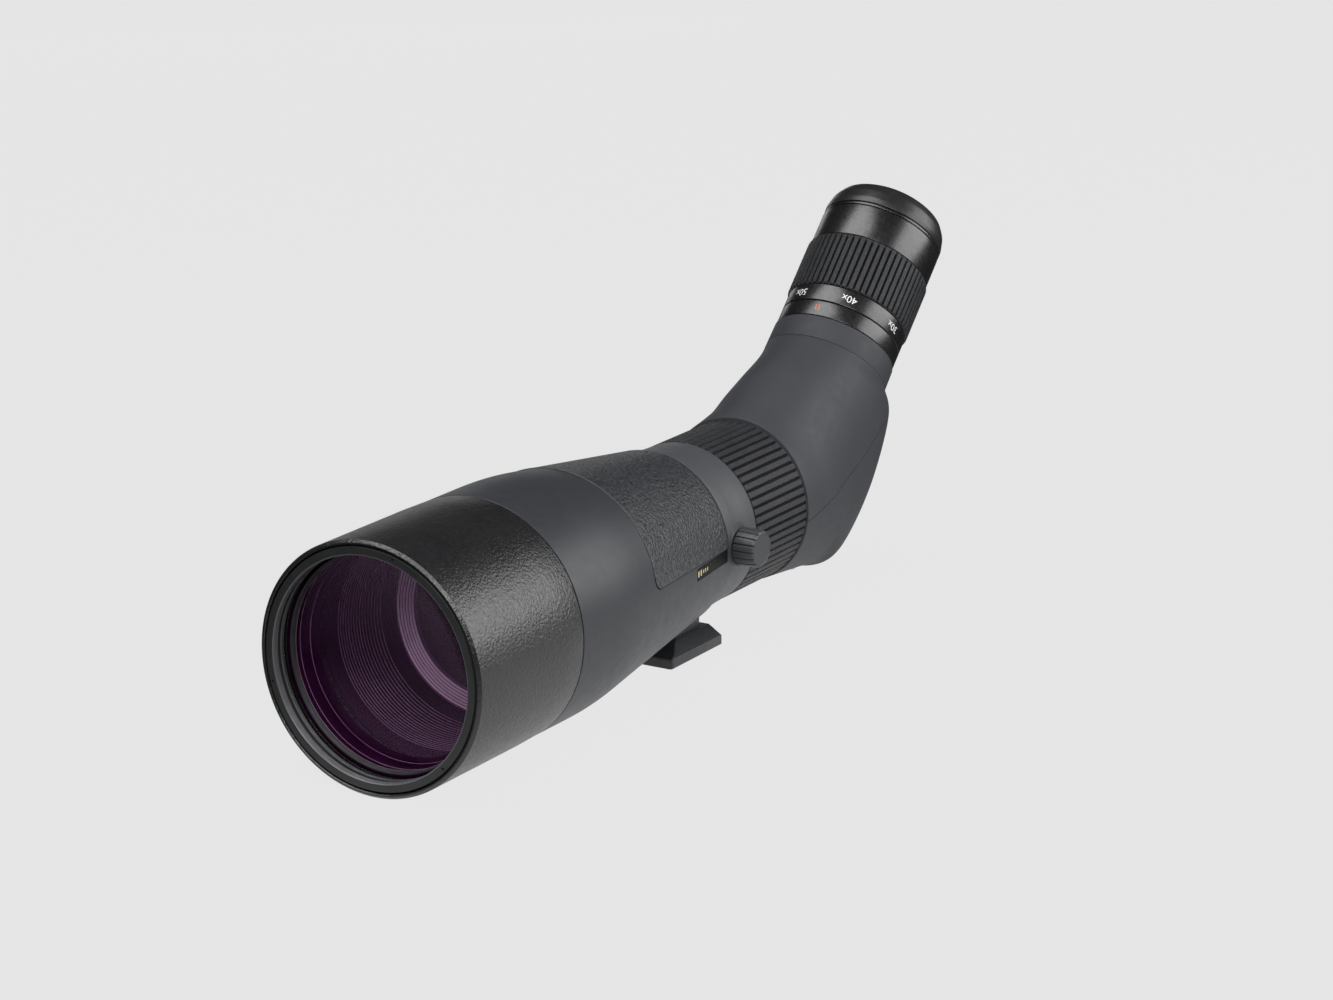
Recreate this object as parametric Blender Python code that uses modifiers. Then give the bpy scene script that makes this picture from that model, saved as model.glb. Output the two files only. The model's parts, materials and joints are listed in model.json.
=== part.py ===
"""Angled spotting scope: zoom eyepiece, twist-up eyecup, sliding sunshade and a rotating tripod collar.

Units are metres and +Z is up. The origin is the centre of the tripod foot's underside. The objective
faces -Y, the eyepiece rises at 45 degrees towards +Y, and the collar's clamp knob is on the +X side.
"""

import math

import bmesh
import bpy
from mathutils import Matrix, Vector

MM = 0.001
GAP = 0.3 * MM
EDGE = 0.3 * MM

# Driving dimensions
HOOD_RADIUS = 49.0 * MM
RIM_TO_FOOT = 200.0 * MM
AXIS_HEIGHT = 48.0 * MM
CONE_ANGLE = math.radians(7.4)
EYEPIECE_ANGLE = math.radians(45.0)
EYEPIECE_BEND = 297.8 * MM
EYEPIECE_RADIUS = 26.75 * MM

# Stations along the main axis, from the sunshade's rim
HOOD_REAR = 68.7 * MM
ARMOUR_FRONT = 69.3 * MM
BELL_REAR = 92.0 * MM
BELL_ARC = 180.0 * MM
PANEL_FRONT = 125.4 * MM
COLLAR_FRONT = 194.6 * MM
COLLAR_REAR = 221.2 * MM
GRIP_FRONT = 221.6 * MM
GRIP_REAR = 261.9 * MM
HOUSING_FRONT = 262.6 * MM
LENS_EDGE = 13.3 * MM
CLAMP_STATION = 205.8 * MM

# Radii around the main axis
BELL_RADIUS = 48.7 * MM
TUBE_REAR_RADIUS = 30.9 * MM
FOCUS_RADIUS = 34.2 * MM
ARMOUR_THICKNESS = 1.8 * MM
TUBE_WALL = 2.0 * MM
PANEL_DEPTH = 0.9 * MM
OPENING_RADIUS = 43.1 * MM
LENS_RADIUS = 42.6 * MM

# Stations along the eyepiece axis, from the bend
HOUSING_TOP = 58.3 * MM
INDEX_START = 66.9 * MM
NUMBERS_START = 74.5 * MM
ZOOM_GRIP_START = 82.8 * MM
BARREL_START = 108.9 * MM
EYECUP_START = 124.5 * MM
EYECUP_TOP = 138.7 * MM

# Foot and clamp
FOOT_WIDTH = 38.0 * MM
FOOT_LENGTH = 39.2 * MM
FOOT_LIP = 4.2 * MM
FOOT_TOP = 8.0 * MM
FOOT_TOP_WIDTH = 26.0 * MM
NECK_WIDTH = 22.0 * MM
NECK_FRONT = -4.5 * MM
NECK_REAR = 16.0 * MM
NECK_TOP = 11.2 * MM
KNOB_RADIUS = 7.8 * MM
KNOB_START = 36.1 * MM
KNOB_END = 45.6 * MM

# How finely round pieces are divided
OUTER_STEPS = 32
INNER_STEPS = 24
SMALL_STEPS = 16

RIB_COUNT = 60
KNOB_RIBS = 16
MERGE = 0.00001

# Finish: colour, roughness, metallic, transmission
FINISHES = {
    "hood_paint": ((0.012, 0.012, 0.013), 0.36, 0.3, 0.0),
    "black_metal": ((0.01, 0.01, 0.011), 0.3, 0.6, 0.0),
    "armour_grey": ((0.075, 0.078, 0.083), 0.62, 0.0, 0.0),
    "grained_panel": ((0.055, 0.057, 0.061), 0.7, 0.0, 0.0),
    "collar_grey": ((0.08, 0.083, 0.09), 0.5, 0.1, 0.0),
    "grip_rubber": ((0.025, 0.026, 0.028), 0.75, 0.0, 0.0),
    "eyecup_rubber": ((0.014, 0.014, 0.015), 0.5, 0.0, 0.0),
    "foot_metal": ((0.02, 0.02, 0.022), 0.42, 0.4, 0.0),
    "badge_black": ((0.012, 0.011, 0.01), 0.3, 0.2, 0.0),
    "lens_glass": ((0.9, 0.85, 0.95), 0.02, 0.0, 1.0),
    "prism_glass": ((0.95, 0.97, 0.97), 0.02, 0.0, 1.0),
    "baffle_black": ((0.006, 0.006, 0.007), 0.8, 0.1, 0.0),
    "body_metal": ((0.3, 0.3, 0.31), 0.4, 0.9, 0.0),
    "steel": ((0.55, 0.55, 0.56), 0.3, 1.0, 0.0),
    "brass": ((0.6, 0.43, 0.18), 0.3, 1.0, 0.0),
    "nylon": ((0.7, 0.69, 0.65), 0.5, 0.0, 0.0),
    "seal_rubber": ((0.01, 0.01, 0.01), 0.6, 0.0, 0.0),
}


def clear_scene():
    for obj in list(bpy.data.objects):
        bpy.data.objects.remove(obj, do_unlink=True)


def new_collection(name):
    collection = bpy.data.collections.new(name)
    bpy.context.scene.collection.children.link(collection)
    return collection


clear_scene()
PARTS = new_collection("spotting_scope")
CUTTERS = new_collection("cutters")


def make_material(name, colour, roughness, metallic, transmission):
    material = bpy.data.materials.new(name)
    material.use_nodes = True
    shader = material.node_tree.nodes["Principled BSDF"]
    shader.inputs["Base Color"].default_value = (*colour, 1.0)
    shader.inputs["Roughness"].default_value = roughness
    shader.inputs["Metallic"].default_value = metallic
    shader.inputs["Transmission Weight"].default_value = transmission
    return material


def frame_empty(name, location, tilt, parent=None):
    """An empty whose local +Z is +Y turned up by tilt from the horizontal, or straight up at 90 degrees."""
    empty = bpy.data.objects.new(name, None)
    empty.parent = parent
    empty.location = location
    empty.rotation_euler = (tilt - math.pi / 2, 0.0, 0.0)
    PARTS.objects.link(empty)
    return empty


def link_piece(name, data, frame, finish=None):
    """A piece of the scope, or with no finish a cutter that the build leaves out."""
    piece = bpy.data.objects.new(name, data)
    piece.parent = frame
    if finish is None:
        CUTTERS.objects.link(piece)
        piece.hide_render = True
        piece.display_type = "WIRE"
    else:
        PARTS.objects.link(piece)
        colour, roughness, metallic, transmission = FINISHES[finish]
        data.materials.append(make_material(name, colour, roughness, metallic, transmission))
    return piece


def mesh_from(name, bm):
    bmesh.ops.recalc_face_normals(bm, faces=bm.faces)
    mesh = bpy.data.meshes.new(name)
    bm.to_mesh(mesh)
    bm.free()
    mesh.shade_smooth()
    mesh.set_sharp_from_angle(angle=math.radians(35.0))
    return mesh


def is_anticlockwise(outline):
    area = 0.0
    for (r0, z0), (r1, z1) in zip(outline, outline[1:] + outline[:1]):
        area += r0 * z1 - r1 * z0
    return area > 0.0


def turned(name, outline, frame, finish=None, steps=INNER_STEPS, solid=False):
    """A turned piece from (radius, station) points. A solid one starts and ends on its axis."""
    points = list(reversed(outline)) if is_anticlockwise(outline) else list(outline)
    if solid and points[0][0] > 0.0:
        raise ValueError(f"{name}: a solid outline starts on the axis")
    edges = [(i, i + 1) for i in range(len(points) - 1)]
    if not solid:
        edges.append((len(points) - 1, 0))
    mesh = bpy.data.meshes.new(name)
    mesh.from_pydata([(r, 0.0, z) for r, z in points], edges, [])
    piece = link_piece(name, mesh, frame, finish)
    screw = piece.modifiers.new("turn", "SCREW")
    screw.axis = "Z"
    screw.angle = math.tau
    screw.steps = steps
    screw.render_steps = steps
    screw.use_merge_vertices = True
    screw.merge_threshold = MERGE
    screw.use_smooth_shade = True
    return piece


def ring(name, inner, outer, start, end, frame, finish=None, steps=INNER_STEPS, chamfer=0.0):
    """A plain ring, whose two outer edges may be chamfered."""
    outline = [(inner, start), (outer - chamfer, start)]
    if chamfer:
        outline += [(outer, start + chamfer), (outer, end - chamfer)]
    else:
        outline.append((outer, start))
    outline += [(outer - chamfer, end), (inner, end)]
    if not chamfer:
        outline = [(inner, start), (outer, start), (outer, end), (inner, end)]
    return turned(name, outline, frame, finish, steps)


def rod(name, radius, start, end, frame, finish=None, steps=SMALL_STEPS):
    """A cylinder along its frame's local Z."""
    bm = bmesh.new()
    size = {"radius1": radius, "radius2": radius, "depth": end - start}
    bmesh.ops.create_cone(bm, cap_ends=True, segments=steps, **size)
    bmesh.ops.translate(bm, verts=bm.verts, vec=(0.0, 0.0, (start + end) / 2))
    return link_piece(name, mesh_from(name, bm), frame, finish)


def box(name, low, high, frame, finish=None, turn=0.0, centre=None):
    """A box between two corners, or with a centre and a turn about Z, a turned box of that size."""
    low, high = Vector(low), Vector(high)
    bm = bmesh.new()
    bmesh.ops.create_cube(bm, size=1.0)
    bmesh.ops.scale(bm, verts=bm.verts, vec=high - low)
    bmesh.ops.translate(bm, verts=bm.verts, vec=(low + high) / 2)
    piece = link_piece(name, mesh_from(name, bm), frame, finish)
    if centre is not None:
        piece.location = centre
        piece.rotation_euler = (0.0, 0.0, turn)
    return piece


def bevel(piece, width, segments=2, angle=40.0):
    modifier = piece.modifiers.new("bevel", "BEVEL")
    modifier.width = width
    modifier.segments = segments
    modifier.limit_method = "ANGLE"
    modifier.angle_limit = math.radians(angle)
    return piece


def boolean(piece, operation, *others):
    for other in others:
        modifier = piece.modifiers.new(f"{operation.lower()}_{other.name}", "BOOLEAN")
        modifier.operation = operation
        modifier.object = other
        modifier.solver = "EXACT"
    return piece


def sheet_prism(name, outline, half_width, frame, finish=None):
    """A prism whose outline of (y, z) points is extruded along X to both sides."""
    bm = bmesh.new()
    sides = [[bm.verts.new((x, y, z)) for y, z in outline] for x in (-half_width, half_width)]
    bm.faces.new(sides[0])
    bm.faces.new(sides[1])
    count = len(outline)
    for i in range(count):
        j = (i + 1) % count
        bm.faces.new((sides[0][i], sides[0][j], sides[1][j], sides[1][i]))
    return link_piece(name, mesh_from(name, bm), frame, finish)


def poly_spline(curve, points):
    spline = curve.splines.new("POLY")
    spline.points.add(len(points) - 1)
    for point, (x, y) in zip(spline.points, points):
        point.co = (x, y, 0.0, 1.0)
    spline.use_cyclic_u = True


def ribbed_outline(crest, root, ribs):
    """Ribs of equal pitch, rising from the root radius to the crest, as a closed outline."""
    points = []
    for i in range(2 * ribs):
        angle = math.pi * i / ribs
        radius = root if i % 2 else crest
        points.append((radius * math.cos(angle), radius * math.sin(angle)))
    return points


def ribbed_ring(name, radii, ends, ribs, frame, finish):
    """An extruded ribbed outline with (crest, root, bore) radii. Without a bore it is solid."""
    crest, root, bore = radii
    start, end = ends
    curve = bpy.data.curves.new(name, "CURVE")
    curve.dimensions = "2D"
    curve.fill_mode = "BOTH"
    curve.extrude = (end - start) / 2
    poly_spline(curve, ribbed_outline(crest, root, ribs))
    if bore:
        angles = [math.tau * i / INNER_STEPS for i in range(INNER_STEPS)]
        poly_spline(curve, [(bore * math.cos(a), bore * math.sin(a)) for a in angles])
    piece = link_piece(name, curve, frame, finish)
    piece.location = (0.0, 0.0, (start + end) / 2)
    return piece


def spherical_cap(radius, curvature, edge, bulge, count):
    """Points of a spherical face from the axis out to its edge. bulge is +1 towards +Z and -1 towards -Z."""
    sag = curvature - math.sqrt(curvature**2 - radius**2)
    points = []
    for i in range(count + 1):
        r = radius * i / count
        height = sag - (curvature - math.sqrt(curvature**2 - r**2))
        points.append((r, edge + bulge * height))
    return points


def lens(name, radius, edges, curves, frame, bulges=(-1, 1), steps=SMALL_STEPS):
    """A lens with its front and rear edge stations, the radii of its faces and the way that each swells."""
    zones = 3 if steps > SMALL_STEPS else 2
    outline = spherical_cap(radius, curves[1], edges[1], bulges[1], zones)
    outline += list(reversed(spherical_cap(radius, curves[0], edges[0], bulges[0], zones)))
    return turned(name, outline, frame, "lens_glass", steps, solid=True)


def catmull_rom(values, t):
    """A smooth curve through evenly spaced values. t runs from 0 to 1."""
    last = len(values) - 1
    place = min(t * last, last - 1e-9)
    index = int(place)
    f = place - index

    def value(k):
        if k < 0:
            return 2 * values[0] - values[1]
        if k > last:
            return 2 * values[last] - values[last - 1]
        return values[k]

    a, b, c, d = (value(index + k) for k in (-1, 0, 1, 2))
    return 0.5 * (2 * b + (c - a) * f + (2 * a - 5 * b + 4 * c - d) * f**2 + (3 * b - a - 3 * c + d) * f**3)


def eyepiece_point(station, offset):
    """(y, z) from the rim on the main axis of a point beside the eyepiece axis. +offset is above it."""
    c, s = math.cos(EYEPIECE_ANGLE), math.sin(EYEPIECE_ANGLE)
    return (EYEPIECE_BEND + station * c - offset * s, station * s + offset * c)


def body_radius(station):
    """The armour's outer radius: a cylinder, an arc and a cone."""
    arc_length = BELL_ARC * math.sin(CONE_ANGLE)
    if station <= BELL_REAR:
        return BELL_RADIUS
    if station <= BELL_REAR + arc_length:
        run = station - BELL_REAR
        return BELL_RADIUS - BELL_ARC + math.sqrt(BELL_ARC**2 - run**2)
    drop = BELL_ARC * (1 - math.cos(CONE_ANGLE))
    return BELL_RADIUS - drop - (station - BELL_REAR - arc_length) * math.tan(CONE_ANGLE)


def body_stations(start, end):
    """Stations at the ends, round the bell's arc and at its tangents."""
    arc_length = BELL_ARC * math.sin(CONE_ANGLE)
    stations = [start, end] + [BELL_REAR + arc_length * k / 2 for k in range(3)]
    return sorted({s for s in stations if start <= s <= end})


def body_line(start, end, offset):
    """Points of the body's outline, moved in or out by offset."""
    return [(body_radius(s) + offset, s) for s in body_stations(start, end)]


BODY = frame_empty("body_frame", (0.0, -RIM_TO_FOOT, AXIS_HEIGHT), math.pi / 2)
MAIN = frame_empty("main_axis", (0.0, 0.0, 0.0), 0.0, BODY)
EYE = frame_empty("eyepiece_axis", (0.0, EYEPIECE_BEND, 0.0), EYEPIECE_ANGLE, BODY)
CLAMP = frame_empty("clamp_axis", (0.0, CLAMP_STATION, 0.0), 0.0, BODY)
CLAMP.rotation_euler = (0.0, math.pi / 2, 0.0)


def make_sunshade():
    """The sliding hood: its tube, the threaded ring in its mouth and the strip that it glides on."""
    bore = 47.1 * MM
    edge = 1.2 * MM
    turned(
        "sunshade_tube",
        [
            (bore + 0.6 * MM, 0.0),
            (HOOD_RADIUS - edge, 0.0),
            (HOOD_RADIUS, edge),
            (HOOD_RADIUS, 55.0 * MM),
            (BELL_RADIUS, HOOD_REAR),
            (bore, HOOD_REAR),
            (bore, 0.6 * MM),
        ],
        MAIN,
        "hood_paint",
        OUTER_STEPS,
    )
    turned(
        "sunshade_front_ring",
        [
            (OPENING_RADIUS, 0.9 * MM),
            (OPENING_RADIUS + 0.7 * MM, 0.2 * MM),
            (bore - GAP, 0.2 * MM),
            (bore - GAP, 8.0 * MM),
            (OPENING_RADIUS + 0.9 * MM, 8.0 * MM),
            (OPENING_RADIUS, 2.6 * MM),
        ],
        MAIN,
        "hood_paint",
        OUTER_STEPS,
    )
    ring("sunshade_glide_ring", 45.9 * MM, bore - GAP, 58.0 * MM, 66.0 * MM, MAIN, "seal_rubber", OUTER_STEPS)


def make_objective():
    """The fixed barrel inside the hood, with the cell and its two air-spaced lenses."""
    barrel = 45.6 * MM
    spigot = 44.2 * MM
    turned(
        "objective_barrel",
        [
            (43.9 * MM, 9.4 * MM),
            (barrel - 0.5 * MM, 9.4 * MM),
            (barrel, 9.9 * MM),
            (barrel, 69.0 * MM),
            (spigot, 69.0 * MM),
            (spigot, 84.0 * MM),
            (42.6 * MM, 84.0 * MM),
            (42.6 * MM, 36.0 * MM),
            (43.9 * MM, 36.0 * MM),
        ],
        MAIN,
        "black_metal",
        OUTER_STEPS,
    )
    turned(
        "objective_cell",
        [
            (43.0 * MM, 9.6 * MM),
            (43.6 * MM, 9.6 * MM),
            (43.6 * MM, 35.0 * MM),
            (40.8 * MM, 35.0 * MM),
            (40.8 * MM, 27.0 * MM),
            (43.0 * MM, 27.0 * MM),
        ],
        MAIN,
        "black_metal",
        OUTER_STEPS,
    )
    turned(
        "objective_retaining_ring",
        [
            (41.8 * MM, 11.9 * MM),
            (42.3 * MM, 9.8 * MM),
            (42.7 * MM, 9.8 * MM),
            (42.7 * MM, 12.7 * MM),
            (41.8 * MM, 12.7 * MM),
        ],
        MAIN,
        "black_metal",
        OUTER_STEPS,
    )
    crown_edges = (LENS_EDGE, 17.3 * MM)
    crown_curves = (350.0 * MM, 290.0 * MM)
    lens("objective_front_lens", LENS_RADIUS, crown_edges, crown_curves, MAIN, steps=OUTER_STEPS)
    ring("lens_spacer_ring", 41.4 * MM, LENS_RADIUS, 17.6 * MM, 18.9 * MM, MAIN, "black_metal")
    flint_edges = (19.2 * MM, 26.6 * MM)
    flint_curves = (290.0 * MM, 900.0 * MM)
    lens("objective_rear_lens", LENS_RADIUS, flint_edges, flint_curves, MAIN, (1, 1), INNER_STEPS)
    seal_radius = 0.55 * MM
    torus("objective_oring", spigot + GAP + seal_radius, seal_radius, 69.6 * MM, MAIN)


def torus(name, major, minor, station, frame):
    """A rubber seal round its frame's axis."""
    outline = [
        (major + minor, station),
        (major, station + minor),
        (major - minor, station),
        (major, station - minor),
    ]
    return turned(name, outline, frame, "seal_rubber", OUTER_STEPS)


def make_body():
    """The metal tube from the bell to the prism housing, and the rubber armour over its cone."""
    skin = ARMOUR_THICKNESS + GAP
    tube_front = ARMOUR_FRONT + 1.2 * MM
    cone_rear = COLLAR_FRONT - 0.5 * MM
    neck_front = COLLAR_FRONT + 0.3 * MM
    outer = body_line(tube_front, cone_rear, -skin)
    inner = [(r - TUBE_WALL, s) for r, s in body_line(86.0 * MM, 185.0 * MM, -skin)]
    bore = 28.0 * MM
    outline = [(44.5 * MM, tube_front)] + outer
    outline += [(TUBE_REAR_RADIUS, neck_front), (TUBE_REAR_RADIUS, 265.4 * MM), (bore, 265.4 * MM)]
    outline += [(bore, 196.0 * MM)] + list(reversed(inner)) + [(44.5 * MM, 86.0 * MM)]
    tube = turned("main_tube", outline, MAIN, "body_metal", OUTER_STEPS)
    slot = box(
        "pin_slot", (-1.8 * MM, 229.0 * MM, 24.0 * MM), (1.8 * MM, 254.4 * MM, 40.0 * MM), BODY
    )
    boolean(tube, "DIFFERENCE", slot)

    armour_outer = body_line(ARMOUR_FRONT + 0.3 * MM, COLLAR_FRONT - GAP, 0.0)
    armour_inner = body_line(ARMOUR_FRONT, COLLAR_FRONT - GAP, -ARMOUR_THICKNESS)
    outline = [(BELL_RADIUS - 0.3 * MM, ARMOUR_FRONT)] + armour_outer + list(reversed(armour_inner))
    armour = turned("body_armour", outline, MAIN, "armour_grey", OUTER_STEPS)
    boolean(armour, "DIFFERENCE", *make_grip_panel(), make_badge())


def panel_side(margin):
    """The panel's side view: a straight lower edge, a rounded front corner and open above."""
    corner = 5.0 * MM
    front = PANEL_FRONT - margin
    rear = COLLAR_FRONT + 5.0 * MM
    low_front, low_rear = 3.9 * MM - margin, 2.2 * MM - margin
    centre = (front + corner, low_front + corner)
    points = [(front, 60.0 * MM)]
    for i in range(5):
        angle = math.pi + math.pi / 2 * i / 4
        points.append((centre[0] + corner * math.cos(angle), centre[1] + corner * math.sin(angle)))
    return points + [(rear, low_rear), (rear, 60.0 * MM)]


def make_grip_panel():
    """The grained inlay over the top of the cone. Returns the cutter for its recess."""
    stop = COLLAR_FRONT - GAP
    floor = body_line(PANEL_FRONT - 5 * MM, stop + 5 * MM, -PANEL_DEPTH)
    roof = body_line(PANEL_FRONT - 5 * MM, stop + 5 * MM, 5 * MM)
    recess = turned("panel_recess", floor + list(reversed(roof)), MAIN, None, OUTER_STEPS)
    boolean(recess, "INTERSECT", sheet_prism("panel_recess_side", panel_side(GAP), 70 * MM, BODY))
    floor = body_line(PANEL_FRONT - 5 * MM, stop, GAP - PANEL_DEPTH)
    roof = body_line(PANEL_FRONT - 5 * MM, stop, 0.1 * MM)
    panel = turned("grip_panel", floor + list(reversed(roof)), MAIN, "grained_panel", OUTER_STEPS)
    boolean(panel, "INTERSECT", sheet_prism("panel_side", panel_side(0.0), 70 * MM, BODY))
    return [recess]


def make_badge():
    """A plain black plate let into the armour's side below the panel. Returns the cutter for its pocket."""
    start, end = 163.7 * MM, 193.2 * MM
    middle = (start + end) / 2
    half_length = (end - start) / 2
    low, high = -2.9 * MM, 1.7 * MM
    depth = 0.9 * MM
    centre = (body_radius(middle), middle, 0.0)
    plate_low = (GAP - depth, -half_length, low)
    plate_high = (-0.1 * MM, half_length, high)
    plate = box("badge_plate", plate_low, plate_high, BODY, "badge_black", CONE_ANGLE, centre)
    bevel(plate, 0.15 * MM, 1)
    pocket_low = (-depth, -half_length - GAP, low - GAP)
    pocket_high = (3 * MM, half_length + GAP, high + GAP)
    return box("badge_pocket", pocket_low, pocket_high, BODY, None, CONE_ANGLE, centre)


def make_baffles():
    """The light baffle held in the objective barrel, with its inner rings, and the diaphragm behind it."""
    flange = 42.2 * MM
    front, rear = 38.0 * MM, 150.0 * MM
    step = 72.3 * MM
    turned(
        "baffle_tube",
        [
            (flange, front),
            (flange, front + 2.0 * MM),
            (41.6 * MM, front + 2.0 * MM),
            (38.6 * MM, 68.0 * MM),
            (37.9 * MM, 75.0 * MM),
            (28.5 * MM, rear),
            (26.9 * MM, rear),
            (31.4 * MM, 114.0 * MM),
            (28.5 * MM, 113.8 * MM),
            (28.5 * MM, 112.2 * MM),
            (31.6 * MM, 112.0 * MM),
            (35.6 * MM, 79.8 * MM),
            (30.6 * MM, 79.3 * MM),
            (30.6 * MM, step),
            (36.7 * MM, step - 0.4 * MM),
            (37.4 * MM, 67.7 * MM),
            (40.4 * MM, front),
        ],
        MAIN,
        "baffle_black",
        OUTER_STEPS,
    )
    rim = 37.0 * MM
    turned(
        "baffle_diaphragm",
        [
            (24.4 * MM, 152.0 * MM),
            (rim, 152.0 * MM),
            (rim, 156.0 * MM),
            (30.0 * MM, 156.0 * MM),
            (24.0 * MM, 152.8 * MM),
        ],
        MAIN,
        "baffle_black",
        INNER_STEPS,
    )


def make_collar():
    """The tripod collar with its clamp boss and foot pad, and the bush between it and the tube."""
    inner = 32.5 * MM
    collar = turned(
        "tripod_collar",
        [
            (inner, COLLAR_FRONT),
            (36.0 * MM, COLLAR_FRONT),
            (36.2 * MM, COLLAR_FRONT + 0.3 * MM),
            (34.9 * MM, 205.0 * MM),
            (34.4 * MM, 213.0 * MM),
            (34.1 * MM, COLLAR_REAR),
            (inner, COLLAR_REAR),
        ],
        MAIN,
        "collar_grey",
        OUTER_STEPS,
    )
    boss = rod("clamp_boss", 8.2 * MM, 33.2 * MM, KNOB_START - 0.4 * MM, CLAMP)
    pad_low = NECK_TOP + GAP - AXIS_HEIGHT
    pad = box(
        "foot_pad",
        (-NECK_WIDTH / 2, RIM_TO_FOOT + NECK_FRONT, pad_low),
        (NECK_WIDTH / 2, RIM_TO_FOOT + NECK_REAR, -32.6 * MM),
        BODY,
    )
    bevel(pad, 2.0 * MM, 3)
    boolean(collar, "UNION", boss, pad)
    screw_hole = rod("clamp_screw_hole", 2.4 * MM, 20 * MM, 40 * MM, CLAMP)
    boolean(collar, "DIFFERENCE", screw_hole)
    liner_ends = (COLLAR_FRONT + 1 * MM, COLLAR_REAR - 1 * MM)
    liner_bore = TUBE_REAR_RADIUS + GAP
    liner = ring("collar_liner", liner_bore, inner - GAP, *liner_ends, MAIN, "nylon", OUTER_STEPS)
    boolean(liner, "DIFFERENCE", screw_hole)
    return collar


def make_clamp():
    """The ribbed knob and its screw, and the pad that the screw presses on the tube."""
    radii = (KNOB_RADIUS, KNOB_RADIUS - 0.7 * MM, None)
    knob = ribbed_ring("knob_blank", radii, (KNOB_START, KNOB_END), KNOB_RIBS, CLAMP, "grip_rubber")
    knob = solid_from_curve("clamp_knob", knob, "grip_rubber")
    screw_end = KNOB_START + 6.0 * MM
    boolean(knob, "DIFFERENCE", rod("knob_bore", 2.3 * MM, 30.0 * MM, screw_end + GAP, CLAMP))
    rod("clamp_screw", 2.0 * MM, 33.4 * MM, screw_end, CLAMP, "steel")
    rod("clamp_pad", 2.0 * MM, 31.3 * MM, 33.1 * MM, CLAMP, "brass")


def solid_from_curve(name, blank, finish):
    """The closed mesh of a filled curve, which modifiers can cut."""
    bpy.context.view_layer.update()
    graph = bpy.context.evaluated_depsgraph_get()
    mesh = bpy.data.meshes.new_from_object(blank.evaluated_get(graph))
    bm = bmesh.new()
    bm.from_mesh(mesh)
    bmesh.ops.remove_doubles(bm, verts=bm.verts, dist=MERGE)
    bmesh.ops.recalc_face_normals(bm, faces=bm.faces)
    bm.to_mesh(mesh)
    bm.free()
    mesh.materials.clear()
    piece = link_piece(name, mesh, blank.parent, finish)
    piece.location = blank.location
    bpy.data.objects.remove(blank, do_unlink=True)
    return piece


def make_foot(collar):
    """The dovetail foot, its threaded insert and the two screws that hold it to the collar."""
    half, top_half = FOOT_WIDTH / 2, FOOT_TOP_WIDTH / 2
    right = [(half, 0.0), (half, FOOT_LIP), (top_half, FOOT_TOP)]
    section = right + [(-x, z) for x, z in reversed(right)]
    bm = bmesh.new()
    ends = [[bm.verts.new((x, y, z)) for x, z in section] for y in (-FOOT_LENGTH / 2, FOOT_LENGTH / 2)]
    bm.faces.new(ends[0])
    bm.faces.new(ends[1])
    for i in range(len(section)):
        j = (i + 1) % len(section)
        bm.faces.new((ends[0][i], ends[0][j], ends[1][j], ends[1][i]))
    foot = link_piece("tripod_foot", mesh_from("tripod_foot", bm), None, "foot_metal")
    bevel(foot, 0.8 * MM, 2, 30.0)
    neck_low = (-NECK_WIDTH / 2, NECK_FRONT, FOOT_TOP - 2 * MM)
    neck = box("foot_neck", neck_low, (NECK_WIDTH / 2, NECK_REAR, NECK_TOP), None)
    bevel(neck, 2.0 * MM, 3)
    boolean(foot, "UNION", neck)

    vertical = frame_empty("foot_frame", (0.0, 0.0, 0.0), math.pi / 2)
    insert_place = Vector((0.0, -11.0 * MM, 0.0))
    insert_hole = rod("insert_hole", 4.6 * MM, -1 * MM, 6.5 * MM, vertical)
    insert_hole.location = insert_place
    boolean(foot, "DIFFERENCE", insert_hole)
    insert_size = (3.1 * MM, 4.3 * MM, 0.2 * MM, 6.2 * MM)
    insert = ring("foot_thread_insert", *insert_size, vertical, "steel", SMALL_STEPS)
    insert.location = insert_place

    for side, name in ((1, "left"), (-1, "right")):
        place = Vector((6.0 * MM * side, 7.5 * MM, 0.0))
        well = turned(
            f"foot_screw_well_{name}",
            [
                (0.0, -1.0 * MM),
                (3.8 * MM, -1.0 * MM),
                (3.8 * MM, 3.8 * MM),
                (2.3 * MM, 3.8 * MM),
                (2.3 * MM, 15.2 * MM),
                (0.0, 15.2 * MM),
            ],
            vertical,
            None,
            SMALL_STEPS,
            solid=True,
        )
        well.location = place
        boolean(foot, "DIFFERENCE", well)
        boolean(collar, "DIFFERENCE", well)
        screw = turned(
            f"foot_screw_{name}",
            [
                (0.0, 1.9 * MM),
                (1.5 * MM, 1.9 * MM),
                (1.5 * MM, 0.8 * MM),
                (3.4 * MM, 0.8 * MM),
                (3.4 * MM, 3.5 * MM),
                (2.0 * MM, 3.5 * MM),
                (2.0 * MM, 14.8 * MM),
                (0.0, 14.8 * MM),
            ],
            vertical,
            "steel",
            SMALL_STEPS,
            solid=True,
        )
        screw.location = place


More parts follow.
